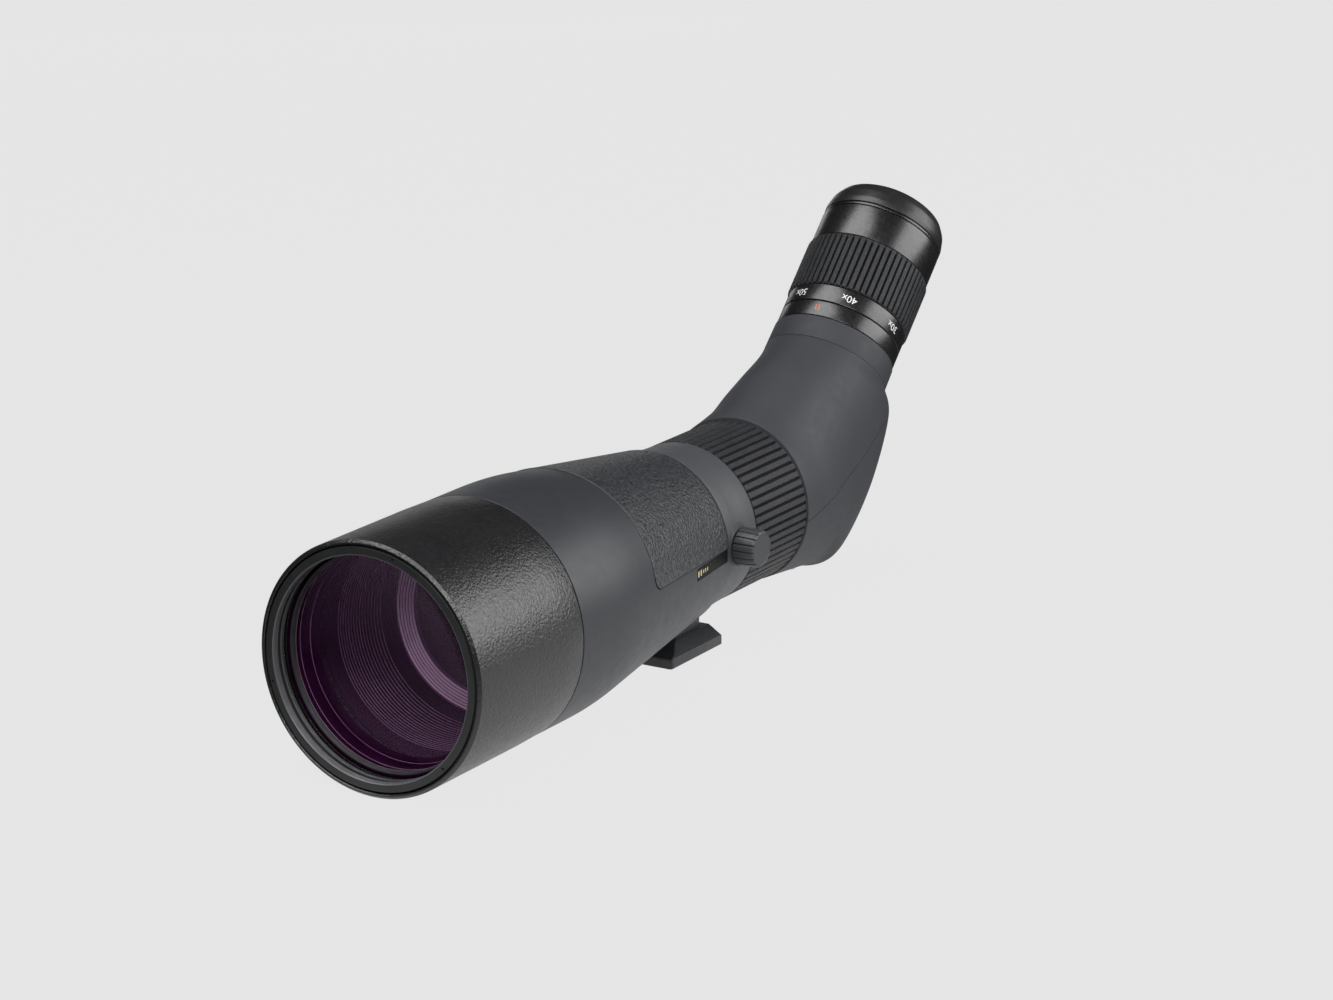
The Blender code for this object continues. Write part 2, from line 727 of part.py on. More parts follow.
def make_focus():
    """The focus ring with its rubber grip, and the lens carriage that it drives along the tube."""
    core_bore = TUBE_REAR_RADIUS + GAP
    core_outer = 32.4 * MM
    core_ends = (GRIP_FRONT + 0.4 * MM, GRIP_REAR - 0.4 * MM)
    ring("focus_ring_core", core_bore, core_outer, *core_ends, MAIN, "body_metal", OUTER_STEPS)
    grip_radii = (FOCUS_RADIUS, FOCUS_RADIUS - 1.0 * MM, core_outer + GAP)
    ribbed_ring("focus_grip", grip_radii, (GRIP_FRONT, GRIP_REAR), RIB_COUNT, MAIN, "grip_rubber")
    pin_station = 241.7 * MM
    cell = turned(
        "focus_cell",
        [
            (22.2 * MM, 206.0 * MM),
            (27.6 * MM, 206.0 * MM),
            (27.6 * MM, 246.0 * MM),
            (25.6 * MM, 246.0 * MM),
            (25.6 * MM, 218.0 * MM),
            (20.6 * MM, 218.0 * MM),
            (20.6 * MM, 215.5 * MM),
            (22.2 * MM, 215.5 * MM),
        ],
        MAIN,
        "black_metal",
    )
    pin_hole = rod("pin_hole", 1.5 * MM, 20 * MM, 40 * MM, BODY)
    pin_hole.location = (0.0, pin_station, 0.0)
    boolean(cell, "DIFFERENCE", pin_hole)
    pin = rod("focus_drive_pin", 1.2 * MM, 25.8 * MM, 30.9 * MM, BODY, "steel")
    pin.location = (0.0, pin_station, 0.0)
    lens("focus_lens", 21.9 * MM, (211.5 * MM, 215.2 * MM), (120.0 * MM, 160.0 * MM), MAIN, (-1, -1))
    ring("focus_lens_retainer", 20.2 * MM, 21.9 * MM, 208.0 * MM, 211.2 * MM, MAIN, "black_metal")


def housing_section(t, inset, count):
    """One section of the prism housing: a superellipse between its top line and its lower line."""
    lower = [
        (262.6 * MM, -34.8 * MM),
        (302.3 * MM, -39.0 * MM),
        (319.0 * MM, -39.9 * MM),
        (346.4 * MM, -19.7 * MM),
        (366.0 * MM, 7.9 * MM),
        eyepiece_point(HOUSING_TOP, -27.3 * MM),
    ]
    top_front = Vector((262.6 * MM, 35.1 * MM))
    top_rear = Vector(eyepiece_point(HOUSING_TOP, 27.3 * MM))
    top = top_front.lerp(top_rear, t)
    bottom = Vector((catmull_rom([p[0] for p in lower], t), catmull_rom([p[1] for p in lower], t)))
    half_width = catmull_rom([34.8 * MM, 32.6 * MM, 30.3 * MM, 28.5 * MM, 27.4 * MM, 27.3 * MM], t) - inset
    power = 2.0 / catmull_rom([2.0, 2.0, 2.3, 2.3, 2.05, 2.0], t)
    centre = (top + bottom) / 2
    half = (top - bottom) / 2
    half = half.normalized() * (half.length - inset)
    points = []
    for i in range(count):
        angle = math.tau * i / count
        c, s = math.cos(angle), math.sin(angle)
        x = half_width * math.copysign(abs(c) ** power, c)
        place = centre + half * math.copysign(abs(s) ** power, s)
        points.append((x, place[0], place[1]))
    return points


def housing_loft(name, start, end, inset, sections, finish=None):
    """A closed loft through the housing's sections from start to end, each from 0 to 1."""
    count = 24
    bm = bmesh.new()
    rings = []
    for i in range(sections + 1):
        t = start + (end - start) * i / sections
        rings.append([bm.verts.new(p) for p in housing_section(t, inset, count)])
    bm.faces.new(rings[0])
    bm.faces.new(rings[-1])
    for low, high in zip(rings, rings[1:]):
        for i in range(count):
            j = (i + 1) % count
            bm.faces.new((low[i], low[j], high[j], high[i]))
    return link_piece(name, mesh_from(name, bm), BODY, finish)


def cover_side(rise):
    """The side view of the space below the seam between the housing and its cover."""
    seam = [
        (250.0 * MM, -4.6 * MM),
        (268.0 * MM, -3.9 * MM),
        (287.0 * MM, -0.6 * MM),
        (305.0 * MM, 3.6 * MM),
        (322.0 * MM, 9.4 * MM),
        (338.0 * MM, 16.2 * MM),
        (352.0 * MM, 19.4 * MM),
        (380.0 * MM, 19.8 * MM),
    ]
    return [(y, z + rise) for y, z in seam] + [(380.0 * MM, -80 * MM), (250.0 * MM, -80 * MM)]


def make_prism_housing():
    """The bent housing in two shells, its prisms on their bracket, and the screws that hold the cover."""
    wall = 2.6 * MM
    housing = housing_loft("prism_housing", 0.0, 1.0, 0.0, 12, "armour_grey")
    cover = housing_loft("prism_cover", 0.0, 1.0, 0.0, 12, "armour_grey")
    cavity = housing_loft("prism_space", 0.07, 0.93, wall, 6)
    seam_low = sheet_prism("below_seam", cover_side(-GAP / 2), 60 * MM, BODY)
    seam_high = sheet_prism("below_seam_and_gap", cover_side(GAP / 2), 60 * MM, BODY)
    tube_bore = rod("housing_tube_bore", TUBE_REAR_RADIUS + GAP, 255 * MM, 266 * MM, MAIN, None, INNER_STEPS)
    light_bore = rod("housing_light_bore", 26.0 * MM, 260 * MM, 285 * MM, MAIN, None, INNER_STEPS)
    eye_bore = rod("housing_eye_bore", 19.0 * MM, 35 * MM, 70 * MM, EYE, None, INNER_STEPS)
    boolean(housing, "DIFFERENCE", cavity, tube_bore, light_bore, eye_bore, seam_high)
    boolean(cover, "INTERSECT", seam_low)
    boolean(cover, "DIFFERENCE", cavity, tube_bore, light_bore, eye_bore)

    screw_base = -38.2 * MM
    bracket = box(
        "prism_bracket", (-12 * MM, 284 * MM, -30.4 * MM), (12 * MM, 318 * MM, -28.4 * MM), BODY, "body_metal"
    )
    bevel(bracket, 1.0 * MM, 1)
    for side, name in ((1, "left"), (-1, "right")):
        place = (6.5 * MM * side, 298.0 * MM, screw_base)
        hole = rod(f"cover_screw_hole_{name}", 1.8 * MM, -10 * MM, 11 * MM, BODY)
        hole.location = place
        boolean(cover, "DIFFERENCE", hole)
        boolean(bracket, "DIFFERENCE", hole)
        screw = rod(f"cover_screw_{name}", 1.5 * MM, 0.0, 9.8 * MM, BODY, "steel")
        screw.location = place


def make_prisms():
    """The two blocks of the 45 degree roof prism, with an air gap between them."""
    half_width = 15.5 * MM
    blocks = {
        "half_penta_prism": [(284, 15), (284, -19), (300, -27.6), (320, -9.5), (305.4, 15)],
        "roof_prism": [(321.6, -8.4), (335, 4), (320.5, 33.0), (300, 20.5), (307, 15.8)],
    }
    for name, outline in blocks.items():
        prism = sheet_prism(name, [(y * MM, z * MM) for y, z in outline], half_width, BODY, "prism_glass")
        bevel(prism, 0.6 * MM, 1)


def make_eyepiece():
    """The fixed pieces of the zoom eyepiece."""
    collar_size = (20.0 * MM, 27.1 * MM, HOUSING_TOP + GAP, INDEX_START - GAP)
    ring("eyepiece_collar", *collar_size, EYE, "armour_grey", OUTER_STEPS, 0.4 * MM)
    ring("eyepiece_mount_ring", 16.0 * MM, 18.7 * MM, 50.0 * MM, 64.0 * MM, EYE, "steel", SMALL_STEPS)
    seal_radius = 0.6 * MM
    torus("eyepiece_oring", 18.7 * MM + GAP + seal_radius - 0.25 * MM, seal_radius, 65.2 * MM, EYE)
    index_size = (20.0 * MM, EYEPIECE_RADIUS, INDEX_START, NUMBERS_START - GAP)
    ring("index_ring", *index_size, EYE, "black_metal", OUTER_STEPS, EDGE)
    turned(
        "eyepiece_tube",
        [
            (17.6 * MM, 66.2 * MM),
            (19.7 * MM, 66.2 * MM),
            (19.7 * MM, 123.0 * MM),
            (15.6 * MM, 123.0 * MM),
            (15.6 * MM, 118.0 * MM),
            (17.6 * MM, 118.0 * MM),
        ],
        EYE,
        "black_metal",
    )
    lens("field_lens", 17.3 * MM, (68.0 * MM, 71.0 * MM), (60.0 * MM, 90.0 * MM), EYE)
    barrel_size = (24.2 * MM, 26.7 * MM, BARREL_START, EYECUP_START - GAP)
    ring("eyepiece_barrel", *barrel_size, EYE, "black_metal", OUTER_STEPS, EDGE)
    lens("eye_lens", 15.3 * MM, (118.5 * MM, 121.5 * MM), (70.0 * MM, 60.0 * MM), EYE)
    ring("eye_lens_retainer", 14.2 * MM, 15.3 * MM, 121.8 * MM, 124.6 * MM, EYE, "black_metal", SMALL_STEPS)


def make_zoom_ring():
    """The turning zoom ring and the two lens groups that its cam moves along the eyepiece."""
    core_inner, core_outer = 22.0 * MM, 24.0 * MM
    number_size = (core_inner, EYEPIECE_RADIUS, NUMBERS_START, ZOOM_GRIP_START - GAP)
    ring("zoom_number_ring", *number_size, EYE, "black_metal", OUTER_STEPS, EDGE)
    core_ends = (ZOOM_GRIP_START, BARREL_START - 5.0 * MM)
    ring("zoom_ring_core", core_inner, core_outer, *core_ends, EYE, "body_metal")
    grip_ends = (ZOOM_GRIP_START, BARREL_START - GAP)
    grip_radii = (27.5 * MM, 26.5 * MM, core_outer + GAP)
    ribbed_ring("zoom_grip", grip_radii, grip_ends, RIB_COUNT, EYE, "grip_rubber")
    ring("zoom_cam_sleeve", 20.0 * MM, 21.7 * MM, 76.0 * MM, 101.0 * MM, EYE, "body_metal")
    for name, start in (("zoom_front", 80.0 * MM), ("zoom_rear", 98.0 * MM)):
        turned(
            f"{name}_cell",
            [
                (14.3 * MM, start),
                (17.2 * MM, start),
                (17.2 * MM, start + 9 * MM),
                (13.0 * MM, start + 9 * MM),
                (13.0 * MM, start + 7.4 * MM),
                (14.3 * MM, start + 7.4 * MM),
            ],
            EYE,
            "black_metal",
            SMALL_STEPS,
        )
        edges = (start + 2.6 * MM, start + 5.4 * MM)
        lens(f"{name}_lens", 14.0 * MM, edges, (50.0 * MM, 70.0 * MM), EYE)


def make_eyecup():
    """The twist-up eyecup: a guide sleeve that turns, and the cup that climbs with it."""
    ring("eyecup_guide_sleeve", 20.0 * MM, 21.7 * MM, 104.0 * MM, 121.0 * MM, EYE, "nylon")
    turned(
        "eyecup_sleeve",
        [
            (22.0 * MM, 105.0 * MM),
            (23.9 * MM, 105.0 * MM),
            (23.9 * MM, EYECUP_START),
            (26.6 * MM, EYECUP_START),
            (26.6 * MM, EYECUP_START + 1.2 * MM),
            (22.0 * MM, EYECUP_START + 1.2 * MM),
        ],
        EYE,
        "black_metal",
        OUTER_STEPS,
    )
    base = EYECUP_START + 1.2 * MM + GAP
    turned(
        "eyecup_rubber",
        [
            (20.0 * MM, base),
            (26.7 * MM, base),
            (26.7 * MM, 128.6 * MM),
            (25.7 * MM, 133.0 * MM),
            (23.3 * MM, 137.0 * MM),
            (19.6 * MM, EYECUP_TOP),
            (18.2 * MM, 137.4 * MM),
        ],
        EYE,
        "eyecup_rubber",
        OUTER_STEPS,
    )


make_sunshade()
make_objective()
make_body()
make_baffles()
make_foot(make_collar())
make_clamp()
make_focus()
make_prism_housing()
make_prisms()
make_eyepiece()
make_zoom_ring()
make_eyecup()
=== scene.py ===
"""Looks of the angled spotting scope: finely modelled shells, rings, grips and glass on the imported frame."""

import json
import math

import bmesh
import bpy
import numpy as np
from mathutils import Matrix, Vector
from mathutils.bvhtree import BVHTree


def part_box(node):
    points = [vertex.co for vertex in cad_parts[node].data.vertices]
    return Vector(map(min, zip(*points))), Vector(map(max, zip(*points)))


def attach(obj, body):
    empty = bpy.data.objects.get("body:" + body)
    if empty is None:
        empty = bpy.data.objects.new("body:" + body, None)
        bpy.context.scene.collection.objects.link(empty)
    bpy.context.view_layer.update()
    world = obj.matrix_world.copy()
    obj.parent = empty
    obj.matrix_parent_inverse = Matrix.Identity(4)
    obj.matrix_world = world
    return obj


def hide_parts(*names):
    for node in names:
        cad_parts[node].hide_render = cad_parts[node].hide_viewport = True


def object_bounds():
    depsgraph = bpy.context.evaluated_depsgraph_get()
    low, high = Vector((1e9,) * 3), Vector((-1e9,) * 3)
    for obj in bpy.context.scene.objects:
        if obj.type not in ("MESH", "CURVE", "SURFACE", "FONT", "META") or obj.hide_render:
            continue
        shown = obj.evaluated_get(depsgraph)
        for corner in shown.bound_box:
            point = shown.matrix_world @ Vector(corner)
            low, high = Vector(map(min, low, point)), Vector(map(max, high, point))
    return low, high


# The script works in millimetres, and meshes are in metres
MM = 0.001

# Studio: the floor's brightness seen directly, and what it and the room give to the scope
FLOOR_SEEN = 0.778
FLOOR_NEAR = 0.8
FLOOR_FAR = 0.02
SKY = 0.028
FLOOR_LIT = (0.12, -0.05)
# (name, azimuth from the objective's side round to +X, elevation, distance, size, radiance)
SOFTBOXES = (
    ("softbox_right", 118.0, 23.0, 1.5, (1.85, 0.94), 4.1),
    ("softbox_top", -42.0, 67.0, 1.5, (1.15, 1.1), 4.5),
    ("softbox_behind", -138.0, 4.0, 1.6, (0.8, 0.3), 1.0),
    ("softbox_front", 30.0, 38.0, 1.6, (0.7, 0.7), 8.5),
)

# The camera's place in metres, where it looks from in degrees, and its lens
CAMERA_PLACE = (0.81470, -1.32235, 0.50791)
CAMERA_AZIMUTH, CAMERA_ELEVATION, CAMERA_ROLL = 31.497, 15.977, 0.168
CAMERA_LENS = 108.44

# How finely pieces are divided
TURN_STEPS = 192
SMALL_TURN_STEPS = 96
ARC_STEPS = 4

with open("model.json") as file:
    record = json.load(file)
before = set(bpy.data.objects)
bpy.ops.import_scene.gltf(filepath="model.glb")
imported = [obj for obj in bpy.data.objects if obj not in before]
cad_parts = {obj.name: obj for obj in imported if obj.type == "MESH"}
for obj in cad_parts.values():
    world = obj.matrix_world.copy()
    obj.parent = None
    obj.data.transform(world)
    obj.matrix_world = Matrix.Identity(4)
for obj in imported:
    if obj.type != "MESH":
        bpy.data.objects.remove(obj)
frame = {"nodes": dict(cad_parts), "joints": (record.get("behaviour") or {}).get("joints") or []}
cad_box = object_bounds()
JOINTS = {joint["name"]: joint for joint in frame["joints"]}


# ---------------- axes and places taken from the frame


class Axis:
    """A line through the scope with cylindrical coordinates: radius, angle from its side, and station."""

    def __init__(self, origin, direction, side):
        self.origin = np.array(origin, float)
        self.along = np.array(direction, float) / np.linalg.norm(direction)
        self.side = np.array(side, float)
        self.up = np.cross(self.side, self.along)

    def point(self, radius, angle, station):
        """World points for arrays or numbers in millimetres, with the angle in radians."""
        radius, station = np.multiply(radius, MM), np.multiply(station, MM)
        radius, angle, station = np.broadcast_arrays(radius, angle, station)
        across = np.multiply.outer(radius * np.cos(angle), self.side)
        across = across + np.multiply.outer(radius * np.sin(angle), self.up)
        return self.origin + across + np.multiply.outer(station, self.along)

    def span(self, node):
        """(start, end, smallest radius, largest radius) of a CAD node about this axis, in millimetres."""
        co = np.array([v.co for v in frame["nodes"][node].data.vertices], float) - self.origin
        station = co @ self.along
        radius = np.linalg.norm(co - np.outer(station, self.along), axis=1)
        return tuple(value / MM for value in (station.min(), station.max(), radius.min(), radius.max()))


def box_centre(node):
    low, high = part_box(node)
    return (low + high) / 2


def box_from(origin, node):
    """The two corners of a node's box, in millimetres from a point."""
    return [(corner - origin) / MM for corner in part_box(node)]


def from_rim(x, y, z):
    """The world point at these millimetres from the rim's centre."""
    return RIM.x + x * MM, RIM.y + y * MM, RIM.z + z * MM


def upright(node):
    """The upright axis through a node's centre, with stations from the foot's underside."""
    centre = box_centre(node)
    return Axis((centre.x, centre.y, 0.0), (0.0, 0.0, 1.0), (0.0, 1.0, 0.0))


# The rim's centre, and the centre of the foot's underside
hood_low, hood_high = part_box("sunshade_tube")
RIM = Vector((0.0, hood_low.y, (hood_low.z + hood_high.z) / 2))
FOOT = Vector()
MAIN = Axis(RIM, (0.0, 1.0, 0.0), (1.0, 0.0, 0.0))

eye_direction = Vector(JOINTS["zoom_front_slide"]["axis"])
barrel_centre = box_centre("eyepiece_barrel")
EYE_BEND = barrel_centre - eye_direction * ((barrel_centre.z - RIM.z) / eye_direction.z)
EYE = Axis(EYE_BEND, eye_direction, (1.0, 0.0, 0.0))

knob_centre = box_centre("clamp_knob")
CLAMP = Axis((0.0, knob_centre.y, knob_centre.z), (1.0, 0.0, 0.0), (0.0, 1.0, 0.0))


# ---------------- mesh helpers


def link(name, data):
    piece = bpy.data.objects.new(name, data)
    bpy.context.scene.collection.objects.link(piece)
    return piece


def mesh_from(name, points, faces, sharp=35.0):
    """A smooth-shaded mesh with outward normals and edges sharper than an angle kept crisp."""
    mesh = bpy.data.meshes.new(name)
    mesh.from_pydata([tuple(p) for p in points], [], [tuple(int(i) for i in f) for f in faces])
    bm = bmesh.new()
    bm.from_mesh(mesh)
    bmesh.ops.remove_doubles(bm, verts=bm.verts, dist=1e-7)
    bmesh.ops.dissolve_degenerate(bm, edges=bm.edges, dist=1e-8)
    bmesh.ops.recalc_face_normals(bm, faces=bm.faces)
    bm.to_mesh(mesh)
    bm.free()
    mesh.shade_smooth()
    mesh.set_sharp_from_angle(angle=math.radians(sharp))
    return mesh


def rounded(outline, closed=True, steps=ARC_STEPS):
    """An outline of (x, y) or (x, y, fillet) points, with an arc at each point that names a fillet."""
    points = [np.array(p[:2], float) for p in outline]
    fillets = [p[2] if len(p) > 2 else 0.0 for p in outline]
    count = len(points)
    result = []
    for i, (here, fillet) in enumerate(zip(points, fillets)):
        if fillet <= 0.0 or (not closed and i in (0, count - 1)):
            result.append(tuple(here))
            continue
        before = points[i - 1] - here
        after = points[(i + 1) % count] - here
        room = 0.49 * min(np.linalg.norm(before), np.linalg.norm(after))
        before, after = before / np.linalg.norm(before), after / np.linalg.norm(after)
        half = math.acos(max(-1.0, min(1.0, float(before @ after)))) / 2
        if half > math.radians(89.0):
            result.append(tuple(here))
            continue
        reach = min(fillet / math.tan(half), room)
        radius = reach * math.tan(half)
        middle = (before + after) / np.linalg.norm(before + after)
        centre = here + middle * radius / math.sin(half)
        start, end = here + before * reach - centre, here + after * reach - centre
        turn = math.pi - 2 * half
        sign = 1.0 if start[0] * end[1] - start[1] * end[0] > 0 else -1.0
        for k in range(steps + 1):
            angle = sign * turn * k / steps
            c, s = math.cos(angle), math.sin(angle)
            arm = np.array([c * start[0] - s * start[1], s * start[0] + c * start[1]])
            result.append(tuple(centre + arm))
    return result


def grid_faces(rows, columns, wrap_rows, wrap_columns):
    """Quads over a grid of points, each side open or wrapped."""
    faces = []
    for i in range(rows if wrap_rows else rows - 1):
        for j in range(columns if wrap_columns else columns - 1):
            a, b = i * columns + j, i * columns + (j + 1) % columns
            c, d = ((i + 1) % rows) * columns + (j + 1) % columns, ((i + 1) % rows) * columns + j
            faces.append((a, b, c, d))
    return faces


def loft(name, rows, closed=False, sharp=30.0):
    """A solid through rows of world points: a closed band of rows, or a tube of them with flat ends."""
    count = len(rows[0])
    faces = grid_faces(len(rows), count, closed, True)
    if not closed:
        faces += [tuple(range(count)), tuple(range((len(rows) - 1) * count, len(rows) * count))]
    return link(name, mesh_from(name, np.concatenate(rows), faces, sharp))


def turned(name, outline, axis, steps=TURN_STEPS, closed=True, sharp=35.0):
    """A turned piece from a rounded outline of (radius, station[, fillet]) points."""
    outline = rounded(outline, closed)
    radius = np.array([p[0] for p in outline])
    station = np.array([p[1] for p in outline])
    angle = np.arange(steps) * math.tau / steps
    points = axis.point(radius[None, :], angle[:, None], station[None, :]).reshape(-1, 3)
    faces = grid_faces(steps, len(outline), True, closed)
    return link(name, mesh_from(name, points, faces, sharp))


def turned_solid(name, outline, axis, steps=TURN_STEPS):
    """A turned solid whose outline starts and ends on the axis."""
    return turned(name, [(max(r, 1e-4), s) for r, s in outline], axis, steps, closed=False, sharp=30.0)


def rod(name, axis, radius, start, end, steps=TURN_STEPS):
    """A plain round cutter."""
    return turned_solid(name, [(0.0, start), (radius, start), (radius, end), (0.0, end)], axis, steps)


def section(inner, outer, start, end, fillet=0.0):
    """The outline of a plain ring."""
    return [(inner, start, fillet), (outer, start, fillet), (outer, end, fillet), (inner, end, fillet)]


def ribbed(name, node, axis, depth, ribs, phase, bevel, flank, tooth=0.62):
    """A sleeve with flat-topped ribs that fills its CAD node. The ribs run out at a bevel at each end."""
    start, end, bore, crest = axis.span(node)
    half_top, half_root = tooth / 2, (1.0 - tooth - flank) / 2
    top = [half_top * share for share in (-1.0, -0.5, 0.0, 0.5, 1.0)]
    steps = [-0.5 + half_root, *top, 0.5 - half_root, 0.5]
    heights = [0.0, 1.0, 1.0, 1.0, 1.0, 1.0, 0.0, 0.0]
    angle = np.array([math.tau * (i + 0.5 + step) / ribs + phase for i in range(ribs) for step in steps])
    height = np.array(heights * ribs)
    rows = []
    for share, bevels, drop in (
        (0.0, 0.0, 0.75), (0.0, 0.35, 0.25), (0.0, 1.0, 0.0), (0.25, 0.0, 0.0), (0.5, 0.0, 0.0),
        (0.75, 0.0, 0.0), (1.0, -1.0, 0.0), (1.0, -0.35, 0.25), (1.0, 0.0, 0.75),
    ):
        radius = crest - depth + height * depth * (1.0 - drop)
        rows.append(axis.point(radius, angle, start + (end - start) * share + bevel * bevels))
    rows += [axis.point(bore, angle, end), axis.point(bore, angle, start)]
    return loft(name, rows, closed=True, sharp=28.0)


def bake(piece):
    """Applies a piece's modifiers."""
    graph = bpy.context.evaluated_depsgraph_get()
    mesh = bpy.data.meshes.new_from_object(piece.evaluated_get(graph))
    piece.modifiers.clear()
    piece.data = mesh


def cut(piece, operation, *tools):
    """Applies Booleans at once and removes the tools."""
    for tool in tools:
        modifier = piece.modifiers.new("cut", "BOOLEAN")
        modifier.operation = operation
        modifier.object = tool
        modifier.solver = "EXACT"
    bake(piece)
    for tool in tools:
        bpy.data.objects.remove(tool, do_unlink=True)


def soften(piece, width, angle=50.0, segments=2):
    """Bevels the sharp edges of a piece at once."""
    modifier = piece.modifiers.new("edge", "BEVEL")
    modifier.width = width * MM
    modifier.segments = segments
    modifier.limit_method = "ANGLE"
    modifier.angle_limit = math.radians(angle)
    bake(piece)


def shade(piece, sharp):
    """Smooth shading, with edges sharper than an angle kept crisp."""
    piece.data.shade_smooth()
    piece.data.set_sharp_from_angle(angle=math.radians(sharp))


def prism(name, outline, low, high, place):
    """A closed prism. place(u, v, w) gives the world point of outline point (u, v) at depth w."""
    points = [place(u, v, w) for w in (low, high) for u, v in outline]
    count = len(outline)
    faces = [tuple(range(count)), tuple(range(count, 2 * count))]
    faces += [(i, (i + 1) % count, count + (i + 1) % count, count + i) for i in range(count)]
    return link(name, mesh_from(name, points, faces))


def follow_normals(piece, source, most=32.0):
    """Shades a cut surface with the normals of the uncut one, so that cuts leave no ripples."""
    bm = bmesh.new()
    bm.from_mesh(source.data)
    bm.normal_update()
    bm.faces.ensure_lookup_table()
    tree = BVHTree.FromBMesh(bm)
    mesh = piece.data
    least = math.cos(math.radians(most))
    normals = [Vector()] * len(mesh.loops)
    for polygon in mesh.polygons:
        flat = polygon.normal.copy()
        for index in polygon.loop_indices:
            corner = mesh.vertices[mesh.loops[index].vertex_index].co
            near, normal, face, distance = tree.find_nearest(corner)
            value = flat
            if near is not None and distance < 0.1 * MM and normal.dot(flat) > least:
                verts = bm.faces[face].verts
                weights = [1.0 / ((v.co - near).length + 1e-7) for v in verts]
                total = Vector()
                for vert, weight in zip(verts, weights):
                    total += vert.normal * weight
                value = total.normalized()
            normals[index] = value
    bm.free()
    mesh.normals_split_custom_set(normals)
    return piece


# ---------------- materials


def shader_of(material):
    return material.node_tree.nodes["Principled BSDF"]


def new_material(name, **settings):
    """A material with its Principled shader. Settings name the sockets to set, with _ for spaces."""
    material = bpy.data.materials.new(name)
    material.use_nodes = True
    shader = shader_of(material)
    for socket, value in settings.items():
        shader.inputs[socket.replace("_", " ")].default_value = value
    return material


def add(material, kind, **values):
    """A new node, with its properties or sockets set by name."""
    node = material.node_tree.nodes.new(kind)
    for name, value in values.items():
        if hasattr(node, name):
            setattr(node, name, value)
        else:
            node.inputs[name.replace("_", " ")].default_value = value
    return node


def join(material, output, target):
    material.node_tree.links.new(output, target)


def place_of(material):
    """The piece's own coordinates, in metres."""
    return add(material, "ShaderNodeTexCoord").outputs["Object"]


def noise(material, place, scale, detail, roughness=0.6):
    node = add(material, "ShaderNodeTexNoise", Scale=scale, Detail=detail, Roughness=roughness)
    join(material, place, node.inputs["Vector"])
    return node.outputs["Fac"]


def spread(material, value, low, high, start=0.3, end=0.7):
    """value's range from start to end, spread from low to high."""
    node = add(material, "ShaderNodeMapRange", From_Min=start, From_Max=end, To_Min=low, To_Max=high)
    join(material, value, node.inputs["Value"])
    return node.outputs["Result"]


def blend_colours(material, value, first, second):
    """A mix of two colours given in thousandths."""
    node = add(material, "ShaderNodeMix", data_type="RGBA")
    join(material, value, node.inputs["Factor"])
    colours = [socket for socket in node.inputs if socket.type == "RGBA"]
    for socket, colour in zip(colours, (first, second)):
        socket.default_value = (*[part / 1000 for part in colour], 1.0)
    return [socket for socket in node.outputs if socket.type == "RGBA"][0]


MATERIALS = {}


def finish(name, darker, lighter, roughness, grain, wear=60.0, **settings):
    """A finish with slow changes between two colours, in thousandths, and of roughness, and a fine grain."""
    material = MATERIALS[name] = new_material(name, **settings)
    place, shader = place_of(material), shader_of(material)
    slow = spread(material, noise(material, place, wear, 3.0), 0.0, 1.0)
    join(material, blend_colours(material, slow, darker, lighter), shader.inputs["Base Color"])
    fine = noise(material, place, wear * 9.0, 2.0)
    join(material, spread(material, fine, *roughness), shader.inputs["Roughness"])
    scale, distance, strength, detail = grain
    bump = add(material, "ShaderNodeBump", Strength=strength, Distance=distance)
    join(material, noise(material, place, scale, detail, 0.55), bump.inputs["Height"])
    join(material, bump.outputs["Normal"], shader.inputs["Normal"])


def glass(name, colour, tint, **settings):
    """Glass that lets the lamps' light through to what is behind it, with faint marks in its polish."""
    settings.update(Base_Color=(*colour, 1.0), IOR=1.5, Transmission_Weight=1.0)
    material = MATERIALS[name] = new_material(name, **settings)
    shader = shader_of(material)
    marks = noise(material, place_of(material), 60.0, 2.0, 0.5)
    join(material, spread(material, marks, 0.0, 0.004), shader.inputs["Roughness"])
    output = material.node_tree.nodes["Material Output"]
    clear = add(material, "ShaderNodeBsdfTransparent", Color=(*tint, 1.0))
    ray = add(material, "ShaderNodeLightPath")
    mix = add(material, "ShaderNodeMixShader")
    join(material, ray.outputs["Is Shadow Ray"], mix.inputs[0])
    join(material, shader.outputs["BSDF"], mix.inputs[1])
    join(material, clear.outputs["BSDF"], mix.inputs[2])
    join(material, mix.outputs["Shader"], output.inputs["Surface"])


# Grains: scale, distance in metres, strength and detail
SMOOTH = (2600.0, 0.00003, 0.3, 1.0)
CAST = (2600.0, 0.00004, 0.3, 1.0)
MATTE = (3200.0, 0.00003, 0.3, 1.0)
POLISHED = (2400.0, 0.00002, 0.2, 1.0)
PRINTED = (3000.0, 0.00002, 0.2, 1.0)

